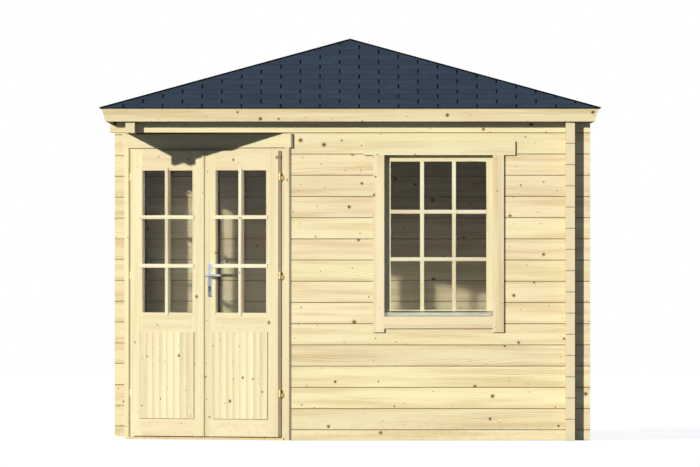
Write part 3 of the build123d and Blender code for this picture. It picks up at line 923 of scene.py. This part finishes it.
def turned_piece(solid, profile, place, sides=32):
    """Add a turned piece: profile points are (radius, height), and place carries it from Z."""
    rings = []
    for radius, height in profile:
        if radius < 1e-7:
            rings.append([solid.verts.new(place @ Vector((0, 0, height)))])
            continue
        ring = []
        for k in range(sides):
            angle = 2 * math.pi * k / sides
            point = Vector((radius * math.cos(angle), radius * math.sin(angle), height))
            ring.append(solid.verts.new(place @ point))
        rings.append(ring)
    for low, high in zip(rings, rings[1:]):
        for k in range(sides):
            j = (k + 1) % sides
            turn = ((low, k), (low, j), (high, j), (high, k))
            distinct = list(dict.fromkeys(ring[i % len(ring)] for ring, i in turn))
            if len(distinct) > 2:
                solid.faces.new(distinct)


# ---------------------------------------------------------------------------
# Boards and glazing bars
# ---------------------------------------------------------------------------

def board_run_tree():
    """Equal boards side by side along X, each lying along Y, with eased edges."""
    tree, given, end = new_tree("Board Run", {
        "Length": 1.0, "Spacing": 0.1, "Gap": 0.0003, "Thickness": 0.018, "Groove": 0.003,
        "Count": 10, "Material": MATERIAL,
    })
    half = given["Length"] * 0.5
    line = node(
        tree, "GeometryNodeCurvePrimitiveLine",
        {"Start": joined(y=half * -1.0), "End": joined(y=half)},
    )[0]
    outline = node(
        tree, "GeometryNodeCurvePrimitiveQuadrilateral",
        {"Width": given["Spacing"] - given["Gap"], "Height": given["Thickness"]},
    )[0]
    eased = node(
        tree, "GeometryNodeFilletCurve",
        {"Curve": outline, "Count": 1, "Radius": given["Groove"]}, mode="POLY",
    )[0]
    board = node(
        tree, "GeometryNodeCurveToMesh",
        {"Curve": line, "Profile Curve": eased, "Fill Caps": True},
    )[0]
    first = (given["Count"] - 1.0) * -0.5 * given["Spacing"]
    points = node(
        tree, "GeometryNodeMeshLine",
        {"Count": given["Count"], "Start Location": joined(first),
         "Offset": joined(given["Spacing"])},
        mode="OFFSET",
    )[0]
    numbered = marked(points, "board", node(tree, "GeometryNodeInputIndex")[0])
    close_tree({"Points": numbered, "Instance": board}, given["Material"], end)
    return tree


def board_run(length, spacing, thickness, count, groove, material, place):
    """A run of boards as a mesh, carried to its place."""
    mesh = grown_mesh(bpy.data.node_groups.get("Board Run") or board_run_tree(), {
        "Length": length, "Spacing": spacing, "Thickness": thickness, "Groove": groove,
        "Count": count, "Material": bpy.data.materials[material],
    })
    mesh.transform(place)
    return mesh


def panel_place(turns, apex):
    """From a roof panel's own frame, with X along the eave, Y up the slope and Z out of it."""
    return (
        Matrix.Rotation(QUARTER * turns, 4, "Z")
        @ Matrix.Translation((0, 0, apex))
        @ Matrix.Rotation(SLOPE, 4, "X")
    )


def hip_planes(turns):
    """The two upright planes through the hips beside a roof panel."""
    turn = Matrix.Rotation(QUARTER * turns, 3, "Z")
    return [(Vector((0, 0, 0)), turn @ Vector((side, 1.0, 0)).normalized()) for side in (-1, 1)]


class CABIN_OT_roof_boards(bpy.types.Operator):
    """Lay the matched boards of the roof deck"""
    bl_idname = "cabin.roof_boards"
    bl_label = "Roof boards"

    def execute(self, context):
        sizes = context.scene.cabin_boards
        reach = (DECK_EDGE - DECK_THICKNESS * math.cos(SLOPE)) / math.cos(SLOPE)
        for turns, side in enumerate(SIDES):
            # The boards lie along the eave, so the run is turned to count up the slope.
            place = (
                panel_place(turns, DECK_APEX)
                @ Matrix.Translation((0, -reach / 2, -DECK_THICKNESS / 2))
                @ Matrix.Rotation(QUARTER, 4, "Z")
            )
            mesh = board_run(
                3.2, reach / sizes.roof_count, DECK_THICKNESS, sizes.roof_count, sizes.groove,
                "board_timber_along_" + ("y" if turns % 2 else "x"), place,
            )
            cut_away(mesh, hip_planes(turns))
            add_piece(
                "roof_boards_" + side, mesh, "cabin",
                replaces=["roof_deck_" + side],
            )
        return {"FINISHED"}


class CABIN_OT_floor_boards(bpy.types.Operator):
    """Lay the floor boards, cut back at the doorway"""
    bl_idname = "cabin.floor_boards"
    bl_label = "Floor boards"

    def execute(self, context):
        low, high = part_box("floor_boards")
        span = high - low
        count = round(span.x / context.scene.cabin_boards.floor_width)
        mesh = board_run(
            span.y, span.x / count, span.z, count, 0.0012, "board_timber_along_y",
            Matrix.Translation((low + high) / 2),
        )
        edge = DOOR @ Vector((0, 0.072, 0))
        cut_away(mesh, [(edge, Vector((-1, -1, 0)).normalized())])
        add_piece("floor_board_run", mesh, "cabin", replaces=["floor_boards"])
        return {"FINISHED"}


class CABIN_OT_door_panels(bpy.types.Operator):
    """Build the boarded lower panels of the two door leaves"""
    bl_idname = "cabin.door_panels"
    bl_label = "Door panels"

    def execute(self, context):
        sizes = context.scene.cabin_boards
        width, count = 0.573 - 0.085, sizes.panel_count
        core_width, core_count = 0.555 - 0.103, 4
        # Low edge, high edge, distance out of the doorway, thickness, board width and count
        layers = (
            (0.132, 0.678, 0.0436, 0.012, width / count, count),
            (0.1502, 0.6598, (0.010 + LEAF_FACE) / 2, 0.0274, core_width / core_count, core_count),
        )
        stand = Matrix.Rotation(QUARTER, 4, "X")
        for side, name in LEAVES:
            meshes = []
            for low, high, out, thickness, spacing, boards in layers:
                place = Matrix.Translation((side * LEAF_MIDDLE, -out, (low + high) / 2))
                meshes.append(board_run(
                    high - low, spacing, thickness, boards, sizes.groove, "door_board_timber",
                    DOOR @ place @ stand,
                ))
            add_piece(
                name + "_panel_boards", join_meshes(meshes), name + "_door",
                replaces=[name + "_leaf_panel"],
            )
        return {"FINISHED"}


def bar(solid, place, length, width, low, high):
    """One glazing bar along X of its place, standing from low to high out of the glass."""
    part = bmesh.new()
    chamfered_box(part, (-length / 2, -high, -width / 2), (length / 2, -low, width / 2), 0.002)
    pour(solid, part, place)


class CABIN_OT_glazing_bars(bpy.types.Operator):
    """Fix the glazing bars over the door glass and the window glass"""
    bl_idname = "cabin.glazing_bars"
    bl_label = "Glazing bars"

    def execute(self, context):
        sizes = context.scene.cabin_boards
        width = sizes.bar_width
        level_width = width * 0.92
        proud = LEAF_FACE + sizes.bar_proud
        tall, wide = OPENING_HIGH - OPENING_LOW, 2 * OPENING_HALF
        upright = Matrix.Rotation(QUARTER, 4, "Y")
        for side, name in LEAVES:
            # Each bar is one strip against the glass and a longer one over the frame.
            middle = side * LEAF_MIDDLE
            posts, levels = bmesh.new(), bmesh.new()
            height = (OPENING_LOW + OPENING_HIGH) / 2
            place = DOOR @ Matrix.Translation((middle, 0, height)) @ upright
            bar(posts, place, tall, width, 0.0202, LEAF_FACE - 0.0002)
            bar(posts, place, tall + 0.036, width, LEAF_FACE - 0.0001, proud)
            for height in (1.400, 1.094):
                place = DOOR @ Matrix.Translation((middle, 0, height))
                bar(levels, place, wide, level_width, 0.0204, LEAF_FACE - 0.0002)
                bar(levels, place, wide + 0.038, level_width, LEAF_FACE - 0.0001, proud + 0.0004)
            for piece, mesh, material in (
                ("upright_bar", outward(posts), "glazing_bar_upright"),
                ("level_bars", outward(levels), "glazing_bar_level"),
                # The dark lining behind the glass is painted shade on the reveal.
                ("glazing_shade_lining", self.shade_lining(middle), "rubber_seal"),
            ):
                add_piece(f"{name}_leaf_{piece}", mesh, name + "_door", material)
        posts, levels = bmesh.new(), bmesh.new()
        for turns, side in ((0, 1), (-1, -1)):
            # The window in the left wall is the mirror image of the one in the front wall.
            to_wall = Matrix.Rotation(QUARTER * turns, 4, "Z")
            to_wall = to_wall @ Matrix.Translation((0, PANE_FRONT, 0))
            for x in (0.451, 0.651):
                centre = Matrix.Translation((side * x, 0, (PANE_LOW + PANE_HIGH) / 2))
                place = to_wall @ centre @ upright
                bar(posts, place, PANE_HIGH - PANE_LOW, width * 0.95, 0.0004, 0.0185)
            for z in (1.434, 1.136):
                place = to_wall @ Matrix.Translation((side * WINDOW_MIDDLE, 0, z))
                bar(levels, place, 0.600, level_width, 0.0006, 0.0188)
        for name, solid, material in (
            ("window_upright_bars", posts, "window_bar_upright"),
            ("window_level_bars", levels, "window_bar_level"),
        ):
            add_piece(name, outward(solid), "cabin", material)
        return {"FINISHED"}

    def shade_lining(self, middle):
        """A dark lining round the opening of a leaf, behind its glass: painted shade on the reveal,
        which the sun through the glass would light.
        """
        shade_lining, thick = bmesh.new(), 0.0012
        front, back = -0.0154, 0.0062
        reach = OPENING_HALF - thick
        for side in (-1, 1):
            low, high = sorted((middle + side * OPENING_HALF, middle + side * reach))
            chamfered_box(shade_lining, (low, front, OPENING_LOW), (high, back, OPENING_HIGH))
        for low in (OPENING_LOW, OPENING_HIGH - thick):
            chamfered_box(shade_lining, (middle - reach, front, low), (middle + reach, back, low + thick))
        shade_lining.transform(DOOR)
        return outward(shade_lining)


# ---------------------------------------------------------------------------
# Shingles
# ---------------------------------------------------------------------------

def shingle_tree():
    """Courses of shingle tabs, half a tab out of step, in a roof panel's own frame."""
    tree, given, end = new_tree("Shingle Courses", {
        "Tab Width": 0.25, "Tab Depth": 0.145, "Slot": 0.009, "Exposure": 0.115, "Rows": 16,
        "Columns": 15, "Thickness": 0.0018, "Rise": 0.002, "Seed": 0, "Material": MATERIAL,
    })
    span_y = (given["Rows"] - 1.0) * given["Exposure"]
    grid = node(tree, "GeometryNodeMeshGrid", {
        "Size X": (given["Columns"] - 1.0) * given["Tab Width"], "Size Y": span_y,
        "Vertices X": given["Columns"], "Vertices Y": given["Rows"],
    })[0]
    row = node(tree, "GeometryNodeInputIndex")[0].maths("MODULO", given["Rows"])
    sideways = row.maths("MODULO", 2.0) * 0.5 * given["Tab Width"]
    shift = joined(sideways, span_y * 0.5)
    points = node(tree, "GeometryNodeSetPosition", {"Geometry": grid, "Offset": shift})[0]
    shade = node(
        tree, "FunctionNodeRandomValue", {2: 0.0, 3: 1.0, "Seed": given["Seed"]},
        data_type="FLOAT",
    )[1]

    tab_width = given["Tab Width"] - given["Slot"]
    tab = node(tree, "GeometryNodeMeshCube", {
        "Size": joined(tab_width, given["Tab Depth"], given["Thickness"]),
        "Vertices X": 5, "Vertices Y": 3, "Vertices Z": 2,
    })[0]
    x, y, _ = split(node(tree, "GeometryNodeInputPosition")[0])
    share = y / given["Tab Depth"]
    # The lower edge of a tab lies on the course below, so the tab rises towards it.
    raised = (0.5 - share) * given["Rise"] + given["Thickness"] * 0.5
    # Its lower corners are cut a little short.
    corner = ramp(x.maths("ABSOLUTE") / tab_width, 0.47, 0.5, 0.0, 0.0025)
    cut = corner * share.maths("LESS_THAN", -0.45)
    offset = joined(y=given["Tab Depth"] * 0.5 + cut, z=raised)
    shaped = node(tree, "GeometryNodeSetPosition", {"Geometry": tab, "Offset": offset})[0]
    close_tree(
        {"Points": marked(points, "tab_shade", shade), "Instance": shaped}, given["Material"], end
    )
    return tree


class CABIN_OT_shingles(bpy.types.Operator):
    """Cover the roof with shingles, their underlay and the hip strips; underlay and hip strips are
    dark felt that paints the shade in the slots and along the hips
    """
    bl_idname = "cabin.shingles"
    bl_label = "Shingles"

    def execute(self, context):
        sizes = context.scene.cabin_shingles
        eave = -(EAVE_REACH / math.cos(SLOPE) - SHINGLE_SKIN * math.tan(SLOPE))
        base = 0.0010
        depth = sizes.exposure + sizes.lap
        rise = sizes.thickness / (1 - sizes.lap / depth)
        # Slots of the second course stand 66 mm left of the middle.
        start = Matrix.Translation((-0.066, eave + sizes.first_course - sizes.exposure, base))
        tree = shingle_tree()
        tabs, sheets, strips = [], [], []
        for turns in range(4):
            place = panel_place(turns, DECK_APEX)
            mesh = grown_mesh(tree, {
                "Tab Width": sizes.tab_width, "Tab Depth": depth, "Slot": sizes.slot,
                "Exposure": sizes.exposure, "Rows": 16, "Columns": 15,
                "Thickness": sizes.thickness, "Rise": rise, "Seed": sizes.seed + turns,
                "Material": bpy.data.materials["granule_felt"],
            })
            mesh.transform(start)
            cut_away(mesh, [(Vector((0, eave, 0)), Vector((0, -1, 0)))])
            mesh.transform(place)
            tabs.append(cut_away(mesh, hip_planes(turns)))
            sheets.append(self.slab(turns, eave, 0.0001, base))
            # Dark strips along the hips: painted shade.
            strip = self.slab(turns, eave, base + sizes.thickness + rise, SHINGLE_SKIN)
            for point, normal in hip_planes(turns):
                inner = (point - normal * sizes.hip_shade_width, -normal)
                strips.append(cut_away(strip.copy(), [inner]))
        for name, meshes, material in (
            ("roof_shingle_tabs", tabs, "granule_felt"),
            ("roof_underlay", sheets, "bare_felt"),
            ("roof_hip_shade_strips", strips, "bare_felt"),
        ):
            add_piece(
                name, join_meshes(meshes), "cabin", material,
                replaces=["roof_shingles"],
            )
        return {"FINISHED"}

    def slab(self, turns, eave, low, high):
        """A flat layer over one roof panel, from one height over the deck to another."""
        slab = bmesh.new()
        chamfered_box(slab, (-1.7, eave + 0.0004, low), (1.7, 0.1, high))
        slab.transform(panel_place(turns, DECK_APEX))
        return cut_away(plain(slab), hip_planes(turns))


# ---------------------------------------------------------------------------
# Lever, plates and hinges
# ---------------------------------------------------------------------------

def tube(points, radius, bend):
    """A round bar along points, with rounded corners."""
    path = bpy.data.curves.new("tube", "CURVE")
    path.dimensions = "3D"
    path.bevel_depth = radius
    path.bevel_resolution = 10
    path.use_fill_caps = True
    spline = path.splines.new("POLY")
    route = rounded_route(points, bend)
    spline.points.add(len(route) - 1)
    for target, point in zip(spline.points, route):
        target.co = (*point, 1.0)
    holder = linked("tube", path)
    mesh = evaluated_mesh(holder)
    bpy.data.objects.remove(holder)
    bpy.data.curves.remove(path)
    return mesh


def rounded_route(points, bend, steps=8):
    """A route with its corners rounded."""
    corners = [Vector(p) for p in points]
    route = [corners[0]]
    for before, corner, after in zip(corners, corners[1:], corners[2:]):
        start = corner + (before - corner).normalized() * bend
        finish = corner + (after - corner).normalized() * bend
        for step in range(steps + 1):
            t = step / steps
            route.append(start * (1 - t) ** 2 + corner * 2 * t * (1 - t) + finish * t ** 2)
    route.append(corners[-1])
    return route


def screw_tree():
    """Cross-head screws on the points that come in, looking along a direction."""
    tree, given, end = new_tree("Screws", {
        "Radius": 0.0034, "Rise": 0.0012, "Direction": Vector((0.0, 0.0, 1.0)),
        "Material": MATERIAL,
    })
    radius, rise = given["Radius"], given["Rise"]
    head = node(tree, "GeometryNodeMeshCone", {
        "Vertices": 20, "Radius Top": radius * 0.72, "Radius Bottom": radius, "Depth": rise,
    })[0]
    cut = node(tree, "GeometryNodeMeshBoolean", {"Mesh 1": head}, operation="DIFFERENCE")
    long_side, short_side = radius * 1.15, radius * 0.26
    for x, y in ((long_side, short_side), (short_side, long_side)):
        arm = node(tree, "GeometryNodeMeshCube", {"Size": joined(x, y, rise)})[0]
        lift = {"Geometry": arm, "Translation": joined(z=rise * 0.9)}
        fill(cut.node, {1: node(tree, "GeometryNodeTransform", lift)[0]})
    turn = node(
        tree, "FunctionNodeAlignRotationToVector", {"Vector": given["Direction"]}, axis="Z"
    )[0]
    close_tree(
        {"Points": given["Geometry"], "Instance": cut[0], "Rotation": turn},
        given["Material"], end,
    )
    return tree


def screws(points, direction, radius, material):
    """Screw heads at points, as a mesh."""
    dots = bpy.data.meshes.new("dots")
    dots.from_pydata([tuple(p) for p in points], [], [])
    return grown_mesh(bpy.data.node_groups.get("Screws") or screw_tree(), {
        "Radius": radius, "Rise": radius * 0.35, "Direction": tuple(direction),
        "Material": bpy.data.materials[material],
    }, dots)


class CABIN_OT_fittings(bpy.types.Operator):
    """Build the lever, the plates with their screws and key cylinder, and the hinges"""
    bl_idname = "cabin.fittings"
    bl_label = "Lever, plates and hinges"

    def execute(self, context):
        sizes = context.scene.cabin_fittings
        self.lever(sizes.lever_radius)
        self.plates(sizes.screw_radius)
        self.hinges(sizes.hinge_radius)
        return {"FINISHED"}

    def lever(self, radius):
        """Two smooth grips on one spindle, each with a collar."""
        u, z = LOCK_ACROSS, LEVER_LEVEL
        reach, grip, turned_in = 0.0545, 0.130, 0.024
        meshes, solid = [], bmesh.new()
        for start, way in ((LEAF_FACE, 1), (LEAF_BACK, -1)):
            out, end_u = start + way * reach, u + grip
            mesh = tube([
                (u, -(start + way * 0.002), z), (u, -out, z), (end_u, -out, z),
                (end_u, -(out - way * turned_in), z),
            ], radius, 0.0155)
            mesh.transform(DOOR)
            meshes.append(mesh)
            turn = Matrix.Rotation(QUARTER * way, 4, "X")
            place = DOOR @ Matrix.Translation((u, -(start + way * PLATE_THICKNESS), z)) @ turn
            collar = [(0, 0), (0.0125, 0), (0.0125, 0.0022), (0.0108, 0.0042), (0, 0.0042)]
            turned_piece(solid, collar, place, 40)
        place = DOOR @ Matrix.Translation((u, 0, z)) @ Matrix.Rotation(QUARTER, 4, "X")
        spindle = [(0, -0.012), (0.0044, -0.012), (0.0044, 0.043), (0, 0.043)]
        turned_piece(solid, spindle, place, 16)
        meshes.append(outward(solid))
        add_piece(
            "lever_grips", join_meshes(meshes), "door_handle",
            "brushed_metal", replaces=["lever_handle"], smooth=40,
        )

    def plates(self, screw_radius):
        """Plates with rounded edges, a keyed cylinder with a keyhole of painted shade, and screws.
        """
        u, middle, width, height = LOCK_ACROSS, 1.007, 0.036, 0.214
        cylinder = [
            (0, -0.004), (0.0085, -0.004), (0.0085, 0.0018), (0.0078, 0.0025), (0, 0.0025),
        ]
        solid, key, slot, heads = bmesh.new(), bmesh.new(), bmesh.new(), []
        for start, way in ((LEAF_FACE, 1), (LEAF_BACK, -1)):
            low, high = sorted((start, start + way * PLATE_THICKNESS))
            face = -(start + way * PLATE_THICKNESS)
            part = bmesh.new()
            chamfered_box(
                part, (u - width / 2, -high, middle - height / 2),
                (u + width / 2, -low, middle + height / 2),
            )
            through = [
                e for e in part.edges if abs((e.verts[0].co - e.verts[1].co).normalized().y) > 0.9
            ]
            self.ease(part, through, 0.006, 5)
            rim = [e for e in part.edges if all(abs(v.co.y - face) < 1e-6 for v in e.verts)]
            self.ease(part, rim, 0.0015, 3)
            pour(solid, part, DOOR)
            turn = Matrix.Rotation(QUARTER * way, 4, "X")
            turned_piece(key, cylinder, DOOR @ Matrix.Translation((u, face, 0.958)) @ turn, 32)
            near, far = sorted((face, face - way * 0.0025))
            tail = bmesh.new()
            chamfered_box(tail, (u - 0.0052, near, 0.9345), (u + 0.0052, far, 0.956), 0.001)
            pour(key, tail, DOOR)
            # A thin near-black box at each cylinder's mouth: painted shade for the keyhole.
            mouth = -(start + way * (PLATE_THICKNESS + 0.0026))
            chamfered_box(
                slot, (u - 0.0009, mouth - 0.0002, 0.9525), (u + 0.0009, mouth + 0.0002, 0.9635)
            )
            points = [DOOR @ Vector((u, face - way * 0.0004, z)) for z in (0.913, 1.101)]
            direction = DOOR.to_3x3() @ Vector((0, -way, 0))
            heads.append(screws(points, direction, screw_radius, "bright_zinc"))
        slot.transform(DOOR)
        add_piece(
            "lock_plate_covers", outward(solid), "right_door",
            "brushed_metal", replaces=["lock_plates"], smooth=35,
        )
        add_piece(
            "key_cylinders", outward(key), "right_door", "dark_nickel", smooth=35
        )
        add_piece("keyhole_shade_marks", outward(slot), "right_door", "dark_bore")
        add_piece(
            "lock_plate_screws", join_meshes(heads), "right_door", "bright_zinc"
        )

    def ease(self, part, edges, offset, segments):
        """Round some edges of a part."""
        bmesh.ops.bevel(
            part, geom=edges, offset=offset, segments=segments, affect="EDGES", profile=0.5
        )

    def hinges(self, radius):
        """Round hinge barrels with domed tips, one half on the frame and one on the leaf."""
        half, gap, v, strap = 0.024, 0.001, 0.030, 0.0015
        top = gap + half
        lower = [
            (0, -half), (radius * 0.6, -half + 0.0007), (radius, -half + 0.003),
            (radius, -0.0006), (radius * 0.92, 0), (0, 0),
        ]
        upper = [
            (0, gap), (radius * 0.92, gap), (radius, gap + 0.0006), (radius, top - 0.003),
            (radius * 0.6, top - 0.0007), (0, top),
        ]
        frame_parts = bmesh.new()
        leaf_meshes = {}
        for side, name in LEAVES:
            u, lip = side * 0.668, side * 0.6606
            leaf_parts = bmesh.new()
            for z in (0.294, 1.034, 1.655):
                base = DOOR @ Matrix.Translation((u, -v, z))
                turned_piece(frame_parts, lower, base, 28)
                flange = bmesh.new()
                chamfered_box(flange, (u - strap, -v, z - half), (u + strap, 0, z))
                low, high = sorted((u - side * strap, u + side * 0.026))
                chamfered_box(flange, (low, -0.003, z - half), (high, 0, z), 0.0006)
                pour(frame_parts, flange, DOOR)
                turned_piece(leaf_parts, upper, base, 28)
                plate = bmesh.new()
                low, high = sorted((lip, lip + side * 0.003))
                chamfered_box(plate, (low, -0.035, z + gap), (high, -0.013, z + top), 0.0006)
                pour(leaf_parts, plate, DOOR)
            leaf_meshes[name] = outward(leaf_parts)
        add_piece(
            "frame_hinge_barrels", outward(frame_parts), "cabin",
            "yellow_zinc", replaces=["frame_hinge_halves"], smooth=35,
        )
        for name, mesh in leaf_meshes.items():
            add_piece(
                name + "_leaf_hinge_barrels", mesh, name + "_door", "yellow_zinc",
                replaces=[name + "_leaf_hinge_halves"], smooth=35,
            )


# ---------------------------------------------------------------------------
# Stage
# ---------------------------------------------------------------------------

class CABIN_OT_stage(bpy.types.Operator):
    """Set up the floor, the light and the camera"""
    bl_idname = "cabin.stage"
    bl_label = "Stage"

    def execute(self, context):
        scene = context.scene
        sizes = scene.cabin_stage
        scene.view_settings.view_transform = "Standard"
        self.floor()
        self.sky(scene, sizes.sky)
        lamp = bpy.data.lights.new("sun", "SUN")
        lamp.energy = sizes.sun
        lamp.angle = math.radians(1.2)
        lamp.color = (1.0, 0.955, 0.86)
        sun = linked("sun", lamp)
        to_sun = Vector((-0.592, -1.0, 0.307))
        sun.rotation_mode = "QUATERNION"
        sun.rotation_quaternion = to_sun.to_track_quat("Z", "Y")

        camera = bpy.data.cameras.new("camera")
        camera.sensor_width = 36.0
        camera.lens = camera.sensor_width * sizes.distance / sizes.view_width
        camera.clip_start = 1.0
        camera.clip_end = 400.0
        holder = linked("camera", camera)
        holder.location = (-0.0009, WALL_FACE - sizes.distance, sizes.height)
        holder.rotation_euler = (QUARTER, 0, 0)
        scene.camera = holder
        return {"FINISHED"}

    def floor(self):
        """A wide pale floor that keeps the cabin's shadow."""
        mesh = bpy.data.meshes.new("pale_floor")
        reach = 60.0
        corners = [(x * reach, y * reach, 0) for x, y in ((-1, -1), (1, -1), (1, 1), (-1, 1))]
        mesh.from_pydata(corners, [], [(0, 1, 2, 3)])
        piece = linked("pale_floor", mesh)
        piece.location.z = -0.0005
        material = bpy.data.materials.new("pale_floor")
        material.use_nodes = True
        tree = material.node_tree
        tree.nodes.clear()
        matt = node(tree, "ShaderNodeBsdfDiffuse", {"Color": (0.30, 0.30, 0.30)})[0]
        glow = node(tree, "ShaderNodeEmission", {"Color": WHITE, "Strength": 0.90})[0]
        both = node(tree, "ShaderNodeAddShader", [matt, glow])[0]
        seen = node(tree, "ShaderNodeLightPath")["Is Camera Ray"]
        blend = node(tree, "ShaderNodeMixShader", [seen, matt, both])[0]
        node(tree, "ShaderNodeOutputMaterial", {"Surface": blend})
        mesh.materials.append(material)

    def sky(self, scene, strength):
        """Soft light from all round, and a white background for the eye and for gloss."""
        world = bpy.data.worlds.new("soft_light")
        scene.world = world
        world.use_nodes = True
        tree = world.node_tree
        tree.nodes.clear()
        soft, white = (
            node(tree, "ShaderNodeBackground", {"Color": colour, "Strength": level})[0]
            for colour, level in (((0.55, 0.70, 1.0), strength), (WHITE, 1.0))
        )
        path = node(tree, "ShaderNodeLightPath")
        shown = path["Is Camera Ray"].maths("MAXIMUM", path["Is Glossy Ray"])
        shown = shown.maths("MAXIMUM", path["Is Transmission Ray"])
        blend = node(tree, "ShaderNodeMixShader", [shown, soft, white])[0]
        node(tree, "ShaderNodeOutputWorld", {"Surface": blend})


STEPS = (
    CABIN_OT_finishes,
    CABIN_OT_roof_boards,
    CABIN_OT_floor_boards,
    CABIN_OT_door_panels,
    CABIN_OT_glazing_bars,
    CABIN_OT_shingles,
    CABIN_OT_fittings,
    CABIN_OT_stage,
)


class CABIN_PT_panel(bpy.types.Panel):
    """Sizes, colours and building steps of the log cabin"""
    bl_idname = "CABIN_PT_panel"
    bl_label = "Log Cabin"
    bl_space_type = "VIEW_3D"
    bl_region_type = "UI"
    bl_category = "Log Cabin"

    def draw(self, context):
        for name, kind in GROUPS.items():
            box = self.layout.box()
            box.label(text=kind.__doc__)
            for key in kind.__annotations__:
                box.prop(getattr(context.scene, name), key)
        for step in STEPS:
            self.layout.operator(step.bl_idname)


def register():
    for kind in (*GROUPS.values(), *STEPS, CABIN_PT_panel):
        bpy.utils.register_class(kind)
    for name, kind in GROUPS.items():
        setattr(bpy.types.Scene, name, bpy.props.PointerProperty(type=kind))


def unregister():
    for name in GROUPS:
        delattr(bpy.types.Scene, name)
    for kind in reversed((*GROUPS.values(), *STEPS, CABIN_PT_panel)):
        bpy.utils.unregister_class(kind)


def main():
    register()
    for step in STEPS:
        family, action = step.bl_idname.split(".")
        getattr(getattr(bpy.ops, family), action)()


if __name__ == "__main__":
    main()
